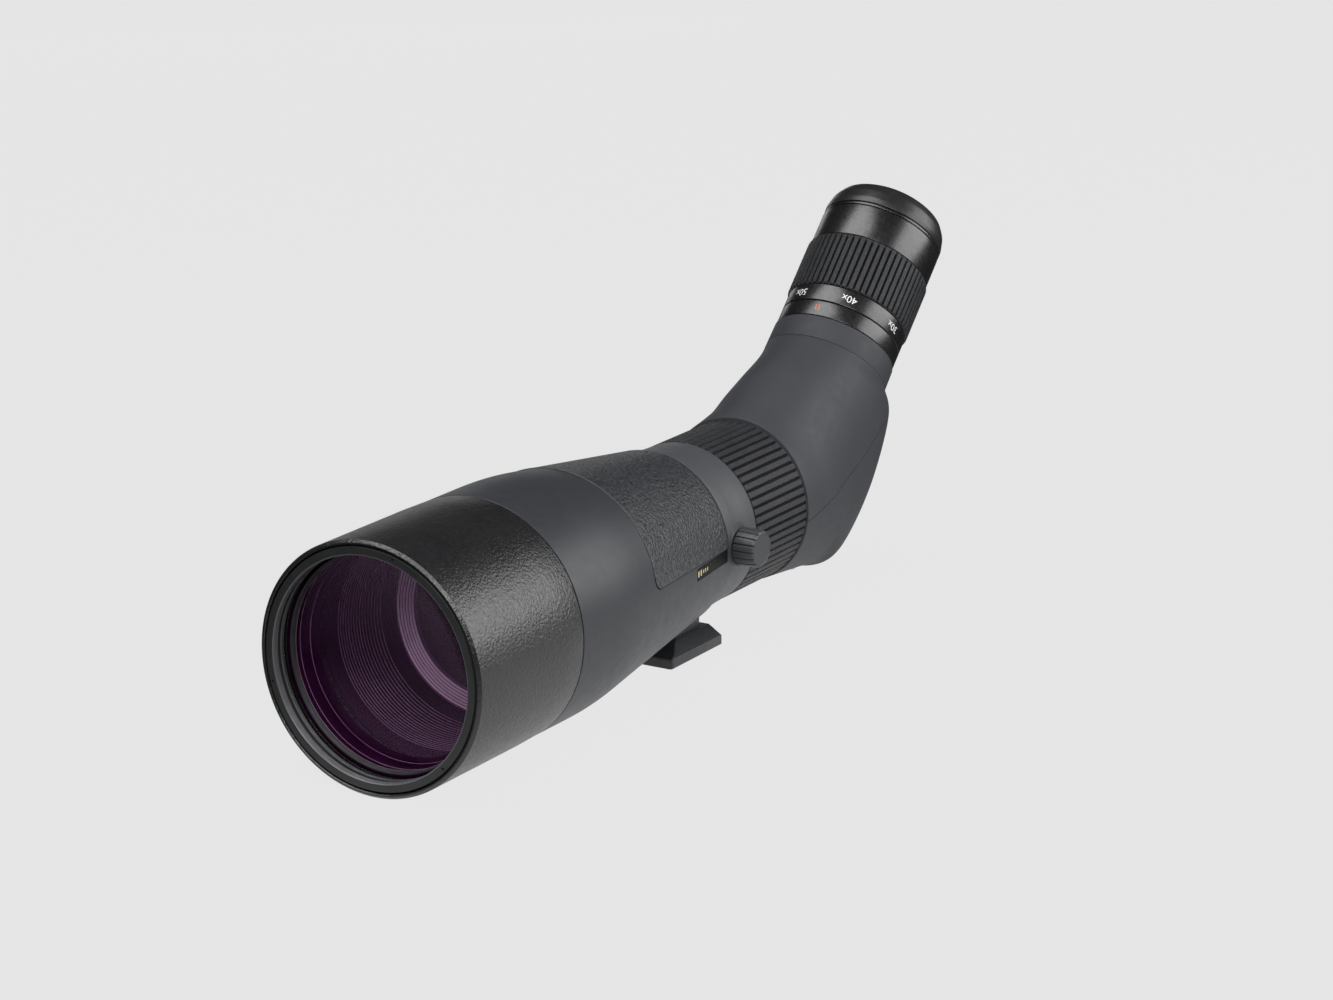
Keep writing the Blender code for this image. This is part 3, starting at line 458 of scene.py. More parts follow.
finish(
    "hood_paint", (7, 7, 8), (11, 11, 12), (0.32, 0.42),
    (850.0, 0.00045, 0.6, 1.5), Specular_IOR_Level=0.7,
)
finish("ring_black", (17, 18.5, 18.5), (23, 25, 25), (0.42, 0.55), CAST)
# Light grey for the front ring's inner wall and thread edge: painted highlight of the chamfer
finish("ring_wall_painted_highlight", (100, 100, 105), (130, 130, 136), (0.3, 0.42), CAST)
finish(
    "black_metal", (6, 6, 7), (10, 10, 11), (0.24, 0.32),
    (2200.0, 0.00005, 0.35, 1.5), Specular_IOR_Level=0.75,
)
finish("armour_rubber", (24, 26, 31), (29, 31, 36), (0.43, 0.5), MATTE, 25.0)
finish("housing_rubber", (34, 36, 41), (40, 42, 48), (0.58, 0.66), MATTE, 25.0, Specular_IOR_Level=0.4)
finish("grained_panel", (6, 7, 8), (52, 56, 62), (0.36, 0.46), (720.0, 0.0009, 0.9, 2.0), 760.0)
finish("collar_metal", (52, 55, 60), (58, 61, 66), (0.46, 0.54), SMOOTH, 30.0)
finish("grip_rubber", (14, 15, 18), (20, 21, 25), (0.48, 0.62), (1600.0, 0.0006, 0.8, 2.0), 90.0)
# Near-black painted shade for the floors of the grips' grooves
finish("groove_painted_shade", (2, 2, 2), (4, 4, 4), (0.7, 0.85), (2400.0, 0.00004, 0.4, 1.0), Specular_IOR_Level=0.2)
finish("knob_plastic", (34, 36, 40), (42, 44, 48), (0.4, 0.5), SMOOTH)
finish("eyecup_rubber", (14, 14, 15), (19, 19, 20), (0.3, 0.4), CAST, 50.0)
finish("foot_metal", (14, 15, 17), (19, 20, 23), (0.4, 0.5), (2400.0, 0.00004, 0.3, 1.0))
finish("badge_black", (3, 3, 3), (5, 5, 4), (0.4, 0.5), POLISHED, Specular_IOR_Level=0.12)
finish("gold_print", (560, 420, 220), (700, 560, 340), (0.34, 0.48), PRINTED, Metallic=0.3)
finish("white_print", (720, 720, 720), (850, 850, 850), (0.45, 0.55), PRINTED)
finish("red_print", (700, 130, 50), (850, 220, 90), (0.4, 0.5), PRINTED)
finish("seal_rubber", (10, 10, 10), (16, 16, 16), (0.55, 0.7), SMOOTH)
# Near-black for the parts seen through the objective, tinted plum: a painted purple cast of the coated glass
finish("baffle_black", (9.5, 0.8, 9), (13, 1.2, 12), (0.65, 0.8), (2000.0, 0.00002, 0.2, 1.0), 80.0, IOR=1.02)
# Light lilac for the ridges of the baffle ring, with a painted purple cast
finish(
    "baffle_ridges", (840, 780, 840), (920, 860, 920), (0.3, 0.4),
    (2400.0, 0.00003, 0.3, 1.0), 80.0, Metallic=0.2,
)
# Darker plum plate between the ring's ridges: painted shade in the gaps and a painted purple cast
finish("ridge_gap_painted_shade", (100, 60, 100), (150, 100, 150), (0.45, 0.55), POLISHED)
# Lighter lilac for the baffle's thread crests: painted glints with a painted purple cast
finish("thread_glint", (75, 52, 75), (130, 100, 130), (0.35, 0.5), POLISHED)
# Light lilac for the edges of the lenses and their seats: painted glints
finish("seat_edge_glint", (120, 90, 120), (160, 120, 160), (0.3, 0.4), POLISHED)
finish("body_metal", (280, 280, 290), (360, 360, 370), (0.32, 0.45), SMOOTH, Metallic=0.9)
finish("steel", (500, 500, 510), (600, 600, 610), (0.25, 0.36), SMOOTH, Metallic=1.0)
finish("brass", (550, 390, 160), (650, 470, 200), (0.25, 0.38), SMOOTH, Metallic=1.0)
finish("nylon", (660, 650, 610), (740, 730, 690), (0.42, 0.55), SMOOTH)
glass(
    "coated_glass", (0.95, 0.84, 0.95), (0.99, 0.95, 0.99), Specular_Tint=(0.40, 0.20, 0.42, 1.0),
    Specular_IOR_Level=0.15,
)
glass("prism_glass", (0.95, 0.97, 0.97), (0.92, 0.95, 0.95))


def dress(piece, material, slot, body, *nodes):
    """Gives a new piece its material, its body and the CAD nodes that it stands for. Its slot is not used."""
    piece.data.materials.clear()
    piece.data.materials.append(MATERIALS[material])
    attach(piece, body)
    if nodes:
        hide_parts(*nodes)


def turned_piece(name, outline, axis, material, slot, body, *nodes, sharp=35.0):
    """A turned piece in its finish, on its body."""
    dress(turned(name, outline, axis, sharp=sharp), material, slot, body, *nodes)


# ---------------- sunshade and objective


def arc_notches(name, radius, size, depth_low, depth_high, angles):
    """Small round cutters sunk into the front ring's face."""
    tools = []
    for k, angle in enumerate(angles):
        centre = MAIN.point(radius, math.radians(angle), 0.0)
        around = [(size * math.cos(a), size * math.sin(a)) for a in np.arange(12) * math.tau / 12]

        def place(u, v, w, centre=centre):
            return centre + np.array([u, w, v]) * MM

        tools.append(prism(f"{name}_{k}", around, depth_low, depth_high, place))
    return tools


def make_sunshade():
    """The hood's tube, and the ring in its mouth with its filter thread and three spanner notches."""
    start, end, bore, outer = MAIN.span("sunshade_tube")
    rear_radius = MAIN.span("body_armour")[3]
    ring_start, ring_end, opening, ring_outer = MAIN.span("sunshade_front_ring")
    turned_piece(
        "sunshade_tube_shell",
        [
            (bore + 0.35, start, 0.1), (outer - 1.1, start, 0.2), (outer, start + 1.1, 0.25),
            (outer, end * 0.8, 0.0), (rear_radius, end, 0.2), (bore, end, 0.1), (bore, start + 0.5, 0.1),
        ],
        MAIN, "hood_paint", "hood_paint", "sunshade", "sunshade_tube", sharp=50.0,
    )

    pitch, depth = 0.75, 0.45
    thread = []
    station = 5.6
    while station < 7.2:
        thread += [(opening + 0.25, station), (opening + 0.25 + depth, station + pitch / 2)]
        station += pitch
    ring = turned(
        "sunshade_front_ring_face",
        [
            (opening + 0.45, ring_start), (ring_outer - 0.5, ring_start, 0.15),
            (ring_outer - 0.3, ring_start + 1.2, 0.1), (ring_outer, ring_start + 1.4, 0.1),
            (ring_outer, ring_end, 0.0), (opening + 0.9, ring_end, 0.0),
        ]
        + list(reversed(thread))
        + [(opening + 0.2, 5.4), (opening + 1.2, 5.2), (opening + 1.2, 3.4), (opening + 0.45, 3.2)],
        MAIN,
        sharp=40.0,
    )
    cut(ring, "DIFFERENCE", *arc_notches("notch", opening + 2.1, 0.55, -1, 0.9, (75.0, 195.0, 315.0)))
    shade(ring, 40.0)
    dress(ring, "ring_black", "black_metal", "sunshade", "sunshade_front_ring")
    # The inner wall and the thread's edge below are light grey: painted highlight
    turned_piece(
        "sunshade_front_wall",
        [
            (opening, ring_start + 0.3, 0.1), (opening + 0.25, ring_start), (opening + 0.45, ring_start),
            (opening + 0.45, 3.2), (opening, 3.2, 0.1),
        ],
        MAIN, "ring_wall_painted_highlight", "black_metal", "sunshade", sharp=40.0,
    )
    turned_piece(
        "sunshade_thread_edge",
        section(opening + 0.1, opening + 0.5, 5.3, 5.7),
        MAIN, "ring_wall_painted_highlight", "black_metal", "sunshade",
    )

    start, end, inner, outer = MAIN.span("sunshade_glide_ring")
    turned_piece(
        "sunshade_glide_strip",
        section(inner, outer, start, end, 0.2),
        MAIN, "seal_rubber", "seal_rubber", "sunshade", "sunshade_glide_ring",
    )


def spherical(radius, curvature, edge, bulge, count=14):
    """Points of a spherical face from the axis out to its edge."""
    sag = curvature - math.sqrt(curvature**2 - radius**2)
    radii = [radius * i / count for i in range(count + 1)]
    return [(r, edge + bulge * (sag - (curvature - math.sqrt(curvature**2 - r * r)))) for r in radii]


def make_lens(name, node, axis, curves, bulges, steps):
    """A polished lens that fills its CAD node, with a bevelled rim."""
    edge = 0.4
    start, end, _, outer = axis.span(node)
    sags = [c - math.sqrt(c**2 - outer**2) for c in curves]
    front = start + (sags[0] if bulges[0] < 0 else 0.0)
    rear = end - (sags[1] if bulges[1] > 0 else 0.0)
    outline = spherical(outer - edge, curves[0], front, bulges[0])
    outline += [(outer, front + edge), (outer, rear - edge)]
    outline += reversed(spherical(outer - edge, curves[1], rear, bulges[1]))
    dress(turned_solid(name, outline, axis, steps), "coated_glass", "coated_glass", "scope_body", node)


def make_objective():
    """The barrel and cell round the objective, its threaded retaining ring and its two coated lenses."""
    start, end, inner, outer = MAIN.span("objective_barrel")
    spigot = 44.2
    turned_piece(
        "objective_barrel_tube",
        [
            (43.9, start, 0.1), (outer, start, 0.4), (outer, 69.0, 0.3), (spigot, 69.0, 0.1),
            (spigot, end, 0.4), (inner, end, 0.2), (inner, 36.0, 0.1), (43.9, 36.0, 0.1),
        ],
        MAIN, "black_metal", "black_metal", "scope_body", "objective_barrel",
    )

    start, end, inner, outer = MAIN.span("objective_cell")
    lens_seat = 42.5
    turned_piece(
        "objective_cell_ring",
        [
            (lens_seat, start, 0.1), (outer, start, 0.15), (outer, end, 0.2), (inner, end, 0.2),
            (inner, 27.0, 0.1), (lens_seat, 27.0, 0.1),
        ],
        MAIN, "baffle_black", "black_metal", "scope_body", "objective_cell",
    )
    start, end, _, outer = MAIN.span("lens_spacer_ring")
    turned_piece(
        "lens_spacer_thin",
        section(42.0, outer, start, end, 0.05),
        MAIN, "baffle_black", "black_metal", "scope_body", "lens_spacer_ring",
    )

    start, end, inner, outer = MAIN.span("objective_retaining_ring")
    turned_piece(
        "objective_retaining_ring_face",
        [
            (inner, end - 1.2, 0.1), (inner + 0.35, start + 0.25, 0.1), (outer, start, 0.1),
            (outer, end, 0.1), (inner, end, 0.1),
        ],
        MAIN, "ring_black", "black_metal", "scope_body", "objective_retaining_ring",
    )

    crown, flint = (350.0, 290.0), (290.0, 900.0)
    make_lens("objective_crown_lens", "objective_front_lens", MAIN, crown, (-1, 1), TURN_STEPS)
    make_lens("objective_flint_lens", "objective_rear_lens", MAIN, flint, (1, 1), TURN_STEPS)


def make_baffles():
    """The threaded light baffle behind the objective, its ridged ring, and the tunnel beyond it."""
    start, end, _, flange = MAIN.span("baffle_tube")
    front_radius, step_radius, step = 40.4, 37.4, 67.7
    pitch, crest = 1.4, 0.26
    taper = (step_radius - front_radius) / (step - start)
    turned_piece(
        "baffle_threads",
        [
            (flange, start), (flange, start + 2.0), (front_radius + 1.2, start + 2.0),
            (step_radius + 1.2, 72.1), (36.7, 72.1), (36.7, 70.4), (37.1, 70.2), (step_radius, step + 0.3),
            (front_radius, start),
        ],
        MAIN, "baffle_black", "baffle_black", "scope_body", "baffle_tube", sharp=20.0,
    )

    # The crests of the anti-glare thread, as separate rings in a lighter lilac: painted glints on the dark
    # wall
    count = int((step - start - 7.0) / pitch)
    for k in range(count):
        station = start + 7.0 + pitch * k
        wall = front_radius + taper * (station - start)
        thread = turned(
            f"baffle_thread_{k:02d}",
            [(wall + 0.1, station), (wall - crest, station + crest * 0.5), (wall + 0.1, station + crest)],
            MAIN,
            SMALL_TURN_STEPS,
            sharp=20.0,
        )
        dress(thread, "thread_glint", "baffle_black", "scope_body")

    # The ridged ring: light ridges on a darker plate, whose gaps are painted shade
    front, ring_inner, ring_outer, ridges = 72.3, 30.6, 36.6, 6
    run = (ring_outer - ring_inner) / ridges
    turned_piece(
        "baffle_ring_plate",
        section(ring_inner, 37.8, front + 0.3, front + 1.5),
        MAIN, "ridge_gap_painted_shade", "baffle_black", "scope_body",
    )
    for k in range(ridges):
        radius = ring_inner + run * (k + 0.1)
        turned_piece(
            f"baffle_ridge_{k}",
            [
                (radius, front + 0.4), (radius + run * 0.06, front), (radius + run * 0.52, front),
                (radius + run * 0.58, front + 0.4),
            ],
            MAIN, "baffle_ridges", "baffle_black", "scope_body",
        )

    # The edges of the lenses and of their seats, seen through the glass, as thin light lilac rings: painted
    # glints
    for name, radius, station in (("front", 41.8, 12.5), ("middle", 42.0, 17.7), ("rear", 40.8, 27.0)):
        edge = 0.11
        outline = section(radius - edge, radius + edge, station - edge, station + edge)
        turned_piece(f"seat_edge_glint_{name}", outline, MAIN, "seat_edge_glint", "baffle_black", "scope_body")

    rear_radius = 28.5
    turned_piece(
        "baffle_tunnel",
        [
            (37.6, 74.0), (rear_radius, end), (rear_radius - 1.6, end, 0.1), (31.4, 114.0),
            (28.5, 113.8, 0.1), (28.5, 112.2, 0.1), (31.6, 112.0), (35.0, 80.2), (29.2, 79.7, 0.1),
            (29.2, 79.3, 0.1), (30.6, 79.2), (31.0, 74.0),
        ],
        MAIN, "baffle_black", "baffle_black", "scope_body",
    )

    start, end, inner, outer = MAIN.span("baffle_diaphragm")
    turned_piece(
        "baffle_rear_diaphragm",
        [
            (inner + 0.4, start, 0.1), (outer, start, 0.3), (outer, end, 0.3), (30.0, end, 0.3),
            (inner, start + 0.8, 0.1),
        ],
        MAIN, "baffle_black", "baffle_black", "scope_body", "baffle_diaphragm",
    )


# ---------------- armour, panel and badge


ARMOUR_START, ARMOUR_END, _, BELL_RADIUS = MAIN.span("body_armour")
BELL_REAR = 92.0
BELL_ARC = 180.0
CONE_ANGLE = math.radians(7.4)


def body_radius(station):
    """The armour's outer radius: a cylinder, an arc and a cone."""
    arc = BELL_ARC * math.sin(CONE_ANGLE)
    if station <= BELL_REAR:
        return BELL_RADIUS
    if station <= BELL_REAR + arc:
        return BELL_RADIUS - BELL_ARC + math.sqrt(BELL_ARC**2 - (station - BELL_REAR) ** 2)
    drop = BELL_ARC * (1 - math.cos(CONE_ANGLE))
    return BELL_RADIUS - drop - (station - BELL_REAR - arc) * math.tan(CONE_ANGLE)


def body_line(start, end, offset, count):
    stations = np.linspace(start, end, count)
    return [(body_radius(s) + offset, s) for s in stations]


def panel_outline(margin):
    """The grained panel's outline from the side, (station, height): open above, with a rounded corner."""
    low, _ = box_from(RIM, "grip_panel")
    front, floor = low.y - margin, low.z
    corner, slope, rear = 4.5, 1.6, ARMOUR_END + 5
    centre = (front + corner, floor + slope - margin + corner)
    points = [(front, 60)]
    for i in range(9):
        angle = math.pi + math.pi / 2 * i / 8
        points.append((centre[0] + corner * math.cos(angle), centre[1] + corner * math.sin(angle)))
    return points + [(rear, floor - margin), (rear, 60)]


def side_prism(name, outline, half_width):
    def place(u, v, w):
        return from_rim(w, u, v)

    return prism(name, outline, -half_width, half_width, place)


def make_armour():
    """The rubber armour over the body's cone, its grained inlay and the badge let into its side."""
    thickness = 1.8
    edge = 0.25
    outer = [(BELL_RADIUS, ARMOUR_START, edge)] + body_line(ARMOUR_START + 1.0, ARMOUR_END - 1.0, 0.0, 48)
    outer += [(body_radius(ARMOUR_END), ARMOUR_END, edge)]
    inner = body_line(ARMOUR_START, ARMOUR_END, -thickness, 12)
    outline = outer + list(reversed(inner))
    armour = turned("body_armour_shell", outline, MAIN, sharp=30.0)
    source = armour.copy()
    source.data = armour.data.copy()

    recess = turned(
        "panel_recess",
        body_line(118, ARMOUR_END + 3, -0.9, 40)
        + list(reversed(body_line(118, ARMOUR_END + 3, 4, 40))),
        MAIN,
    )
    cut(recess, "INTERSECT", side_prism("panel_recess_side", panel_outline(0.36), 70))
    badge, pocket = make_badge()
    cut(armour, "DIFFERENCE", recess, pocket)
    follow_normals(armour, source)
    dress(armour, "armour_rubber", "armour_rubber", "scope_body", "body_armour")

    panel = turned(
        "grained_panel_inlay",
        [(r - 0.75, s) for r, s in body_line(118, ARMOUR_END, 0.0, 40)]
        + list(reversed(body_line(118, ARMOUR_END, 0.22, 40))),
        MAIN,
        sharp=30.0,
    )
    panel_source = panel.copy()
    panel_source.data = panel.data.copy()
    cut(panel, "INTERSECT", side_prism("panel_side", panel_outline(0.0), 70))
    soften(panel, 0.22)
    follow_normals(panel, panel_source)
    dress(panel, "grained_panel", "grained_panel", "scope_body", "grip_panel")
    low, _ = box_from(RIM, "grip_panel")
    front, above = low.y, low.z + 7.0
    # The panel's front edge: a raised bevel that catches the light, in the collar's lighter grey, which paints
    # a highlight onto the line as well
    bead = turned(
        "panel_edge_line",
        [
            (body_radius(front) - 0.6, front - 0.05), (body_radius(front) + 0.14, front - 0.05),
            (body_radius(front) + 0.3, front + 0.12), (body_radius(front) + 0.3, front + 0.3),
            (body_radius(front) - 0.6, front + 0.3),
        ],
        MAIN,
        sharp=30.0,
    )
    edge_zone = [(front - 2, above), (front + 2, above), (front + 2, 60), (front - 2, 60)]
    cut(bead, "INTERSECT", side_prism("panel_edge_zone", edge_zone, 70))
    shade(bead, 30.0)
    dress(bead, "collar_metal", "grained_panel", "scope_body")
    bpy.data.objects.remove(source)
    bpy.data.objects.remove(panel_source)
    dress(badge, "badge_black", "badge_black", "scope_body", "badge_plate")


def rounded_rectangle(low_u, low_v, high_u, high_v, fillet):
    return rounded(section(low_u, high_u, low_v, high_v, fillet))


def make_badge():
    """The gloss badge plate and the cutter of its pocket, with a row of plain gold bars on the plate."""
    low, high = box_from(RIM, "badge_plate")
    middle = (low.y + high.y) / 2
    half = (high.y - low.y) / 2 / math.cos(CONE_ANGLE)
    bottom, top = low.z, high.z
    radius = body_radius(middle)
    c, s = math.cos(CONE_ANGLE), math.sin(CONE_ANGLE)

    def place(u, v, w):
        return from_rim(radius - u * s + w * c, middle + u * c + w * s, v)

    face = -0.1
    plate = prism("badge_face", rounded_rectangle(-half, bottom, half, top, 0.4), -0.6, face, place)
    margin = 0.3
    edge = rounded_rectangle(-half - margin, bottom - margin, half + margin, top + margin, 0.6)
    pocket = prism("badge_pocket", edge, -0.9, 3, place)

    bars = [(0.8, 1.1), (3.1, 1.1), (5.6, 0.8), (7.5, 0.8), (9.4, 0.8)]
    centre = (bottom + top) / 2 + 0.1
    for k, (offset, width) in enumerate(bars):
        tall = 1.2 if k < 2 else 0.75
        start = -half + offset
        outline = rounded_rectangle(start, centre - tall, start + width, centre + tall, 0.3)
        bar = prism(f"badge_bar_{k}", outline, face, face + 0.05, place)
        dress(bar, "gold_print", "badge_black", "scope_body")
    return plate, pocket


# ---------------- collar, clamp and foot


def make_collar():
    """The tripod collar with its boss and pad, smooth and lightly rounded at its edges."""
    start, end, _, _ = MAIN.span("tripod_collar")
    inner = MAIN.span("collar_liner")[3] + 0.3
    collar = turned(
        "tripod_collar_band",
        [
            (inner, start, 0.2), (36.2, start, 0.35), (34.9, 205.0, 6), (34.4, 213.0, 6), (34.1, end, 0.35),
            (inner, end, 0.2),
        ],
        MAIN,
        sharp=30.0,
    )
    boss_end = CLAMP.span("clamp_knob")[0] - 0.4
    boss = turned_solid(
        "collar_boss",
        [(0.0, 33.2), (9.6, 33.2), (8.5, 34.6), (8.2, boss_end), (0.0, boss_end)],
        CLAMP,
        SMALL_TURN_STEPS,
    )
    pad = foot_pad(box_from(FOOT, "tripod_collar")[0].z, RIM.z / MM - 32.7)
    hole = rod("collar_screw_hole", CLAMP, 2.4, 20, 40, 48)
    cut(collar, "UNION", boss, pad)
    cut(collar, "DIFFERENCE", hole)
    shade(collar, 30.0)
    dress(collar, "collar_metal", "collar_metal", "mount", "tripod_collar")


# The neck's plan, in millimetres from the foot's centre
NECK_HALF, NECK_FRONT, NECK_REAR = 11.0, -4.5, 16.0


def foot_pad(bottom, top):
    """The block under the collar that the foot is screwed to, with rounded corners."""

    def place(u, v, w):
        return u * MM, v * MM, w * MM

    outline = rounded_rectangle(-NECK_HALF, NECK_FRONT, NECK_HALF, NECK_REAR, 2.0)
    return prism("foot_pad", outline, bottom, top, place)


def make_knob():
    """The clamp knob: fluted round its side, with a plain slightly sunk disc on its end."""
    start, end, _, radius = CLAMP.span("clamp_knob")
    flutes, per, groove = 16, 10, 0.75
    angles = np.arange(flutes * per) * math.tau / (flutes * per)
    dips = np.array(([1.0, 0.1] + [0.0] * (per - 3) + [0.1]) * flutes)
    disc = radius - 1.3
    rows = []
    for r, s, depth in (
        (2.3, start, 0.0), (radius - 0.5, start, 0.6), (radius - 0.1, start + 0.35, 1.0),
        (radius, start + 1.2, 1.0), (radius - 0.05, (start + end) / 2, 1.0), (radius - 0.25, end - 1.1, 1.0),
        (radius - 0.5, end - 0.45, 0.9), (radius - 1.0, end - 0.05, 0.15), (disc, end, 0.0),
        (disc - 0.25, end, 0.0), (disc - 0.45, end - 0.12, 0.0), (disc * 0.5, end - 0.12, 0.0),
        (1e-4, end - 0.12, 0.0),
    ):
        rows.append(CLAMP.point(r - dips * depth * groove, angles, s))
    bore_end = start + 6.3
    rows.insert(0, CLAMP.point(2.3, angles, bore_end))
    rows.insert(0, CLAMP.point(1e-4, angles, bore_end))
    faces = grid_faces(len(rows), len(angles), False, True)
    knob = link("clamp_knob_fluted", mesh_from("clamp_knob_fluted", np.concatenate(rows), faces, 30.0))
    dress(knob, "knob_plastic", "knob_plastic", "clamp", "clamp_knob")


def make_foot():
    """The dovetail foot: crisp bevelled sides, a rounded neck, its thread insert and its screws' wells."""
    low, high = box_from(FOOT, "tripod_foot")
    half, length = high.x, high.y - low.y
    lip, top, top_half, ramp = 4.2, 8.0, 13.0, 14.0
    rows = []
    ends = [(0.0, 0.7), (0.25, 0.25), (0.8, 0.0)]
    places = ends + [(d, 0.0) for d in range(2, 15, 2)] + [(length - d, inset) for d, inset in reversed(ends)]
    for along, inset in places:
        share = min(along / ramp, 1.0)
        rise = (top - lip) * (0.1 + 0.9 * share * share * (3 - 2 * share))
        side = half - (half - top_half) * rise / (top - lip) - inset
        wide = half - inset
        half_outline = [(wide, 0.0, 0.7), (wide, lip - inset, 0.4), (side, lip + rise - inset, 0.15)]
        outline = [(-wide, 0.0, 0.7)] + half_outline + [(-x, z, r) for x, z, r in reversed(half_outline[1:])]
        rows.append([(x * MM, (low.y + along) * MM, (low.z + z) * MM) for x, z in rounded(outline)])
    foot = loft("dovetail_foot", rows)
    neck = foot_pad(top - 2, high.z)
    tools = [rod("insert_hole", upright("foot_thread_insert"), 4.6, -1, 6.5, 48)]
    for side in ("left", "right"):
        outline = [(0.0, -1.0), (3.8, -1.0), (3.8, 3.8), (2.3, 3.8), (2.3, 15.2), (0.0, 15.2)]
        tools.append(turned_solid(f"well_{side}", outline, upright(f"foot_screw_{side}"), 48))
    cut(foot, "UNION", neck)
    cut(foot, "DIFFERENCE", *tools)
    shade(foot, 30.0)
    dress(foot, "foot_metal", "foot_metal", "mount", "tripod_foot")


# ---------------- grips


def make_grip(node, axis, body, depth, phase, bevel, flank, margin):
    """A grip with 60 ribs, turned by phase in degrees, and a near-black sleeve at the floor of its grooves as
    painted shade.
    """
    grip = ribbed(f"{node}_ribs", node, axis, depth, 60, math.radians(phase), bevel, flank)
    dress(grip, "grip_rubber", "grip_rubber", body, node)
    start, end, _, crest = axis.span(node)
    floor = crest - depth + 0.1
    outline = section(floor - 0.3, floor, start + margin, end - margin)
    # The sleeve under the ribs is painted shade, so that the grooves read dark
    turned_piece(f"{node}_grooves", outline, axis, "groove_painted_shade", "grip_rubber", body)


# ---------------- prism housing


def catmull_rom(values, t):
    """A smooth curve through evenly spaced values. t runs from 0 to 1."""
    last = len(values) - 1
    place = min(t * last, last - 1e-9)
    index = int(place)
    f = place - index

    def value(k):
        if k < 0:
            return 2 * values[0] - values[1]
        if k > last:
            return 2 * values[last] - values[last - 1]
        return values[k]

    a, b, c, d = (value(index + k) for k in (-1, 0, 1, 2))
    return 0.5 * (2 * b + (c - a) * f + (2 * a - 5 * b + 4 * c - d) * f**2 + (3 * b - a - 3 * c + d) * f**3)


# Where the housing ends along the eyepiece, and about how long its sides are
HOUSING_TOP, HOUSING_LENGTH = 56.0, 90.0


def eyepiece_point(station, offset):
    """(station, height) from the rim of a point beside the eyepiece axis. +offset is above it."""
    bend = (EYE_BEND.y - RIM.y) / MM
    c, s = EYE.along[1], EYE.along[2]
    return (bend + station * c - offset * s, station * s + offset * c)


def housing_section(t, inset, count):
    """One section of the prism housing: a superellipse between its top line and its lower line."""
    front = box_from(RIM, "prism_housing")[0].y
    lower = [
        (front, -34.8),
        (302.3, -39.0),
        (319.0, -39.9),
        (346.4, -19.7),
        (366.0, 7.9),
        eyepiece_point(HOUSING_TOP, -27.3),
    ]
    top_front = Vector((front, 35.1))
    top_rear = Vector(eyepiece_point(HOUSING_TOP, 27.3))
    top = top_front.lerp(top_rear, t)
    bottom = Vector((catmull_rom([p[0] for p in lower], t), catmull_rom([p[1] for p in lower], t)))
    half_width = catmull_rom([34.8, 32.6, 30.3, 28.5, 27.4, 27.3], t) - inset
    power = 2.0 / catmull_rom([2.0, 2.0, 2.3, 2.3, 2.05, 2.0], t)
    centre = (top + bottom) / 2
    half = (top - bottom) / 2
    half = half.normalized() * (half.length - inset)
    points = []
    for i in range(count):
        angle = math.tau * i / count
        c, s = math.cos(angle), math.sin(angle)
        x = half_width * math.copysign(abs(c) ** power, c)
        place = centre + half * math.copysign(abs(s) ** power, s)
        points.append(from_rim(x, *place))
    return points


def housing_loft(name, start, end, inset, sections, count=144, edge=0.0):
    """A closed loft through the housing's sections, with the edges of its ends rounded by edge."""
    share = edge / HOUSING_LENGTH
    places = [start + (end - start) * i / sections for i in range(sections + 1)]
    places = [min(max(t, start + share), end - share) for t in places]
    insets = [inset] * len(places)
    if edge:
        places = [start, start + share * 0.3, *places, end - share * 0.3, end]
        insets = [inset + edge, inset + edge * 0.3, *insets, inset + edge * 0.3, inset + edge]
    return loft(name, [housing_section(t, d, count) for t, d in zip(places, insets)])


def cover_side(rise, steps=40):
    """The side view of the space below the seam between the housing and its cover."""
    stations = [250.0, 268.0, 287.0, 305.0, 322.0, 338.0, 352.0, 380.0]
    heights = [-4.6, -3.9, -0.6, 3.6, 9.4, 16.2, 19.4, 19.8]
    shares = [i / steps for i in range(steps + 1)]
    line = [(catmull_rom(stations, t), catmull_rom(heights, t) + rise) for t in shares]
    return line + [(380.0, -80), (250.0, -80)]


def make_housing():
    """The prism housing and its cover, split along a gently curved seam."""
    gap = 0.24
    names = ("prism_housing_shell", "prism_cover_shell", "housing_source")
    housing, cover, source = [housing_loft(name, 0.0, 1.0, 0.0, 64, edge=0.12) for name in names]

    def bores():
        return [
            housing_loft("prism_space", 0.08, 0.84, 3.2, 24, 72),
            rod("tube_bore", MAIN, 31.2, 255, 266),
            rod("light_bore", MAIN, 26.0, 260, 285),
            rod("eye_bore", EYE, 19.0, 35, 70),
        ]

    cut(housing, "DIFFERENCE", *bores(), side_prism("below_seam", cover_side(gap / 2), 60))
    cut(cover, "INTERSECT", side_prism("cover_zone", cover_side(-gap / 2), 60))
    screws = ("cover_screw_left", "cover_screw_right")
    holes = [rod(f"{screw}_hole", upright(screw), 1.8, -5, 22, 48) for screw in screws]
    cut(cover, "DIFFERENCE", *bores(), *holes)
    follow_normals(housing, source)
    follow_normals(cover, source)
    bpy.data.objects.remove(source)
    dress(housing, "housing_rubber", "armour_rubber", "scope_body", "prism_housing")
    dress(cover, "housing_rubber", "armour_rubber", "scope_body", "prism_cover")


# ---------------- eyepiece


def eye_ring(name, node, body, front, rear):
    """A satin ring that fills a CAD node of the eyepiece, with its outer edges rounded."""
    start, end, inner, outer = EYE.span(node)
    outline = [(inner, start, 0.1), (outer, start, front), (outer, end, rear), (inner, end, 0.1)]
    turned_piece(name, outline, EYE, "black_metal", "black_metal", body, node, sharp=38.0)


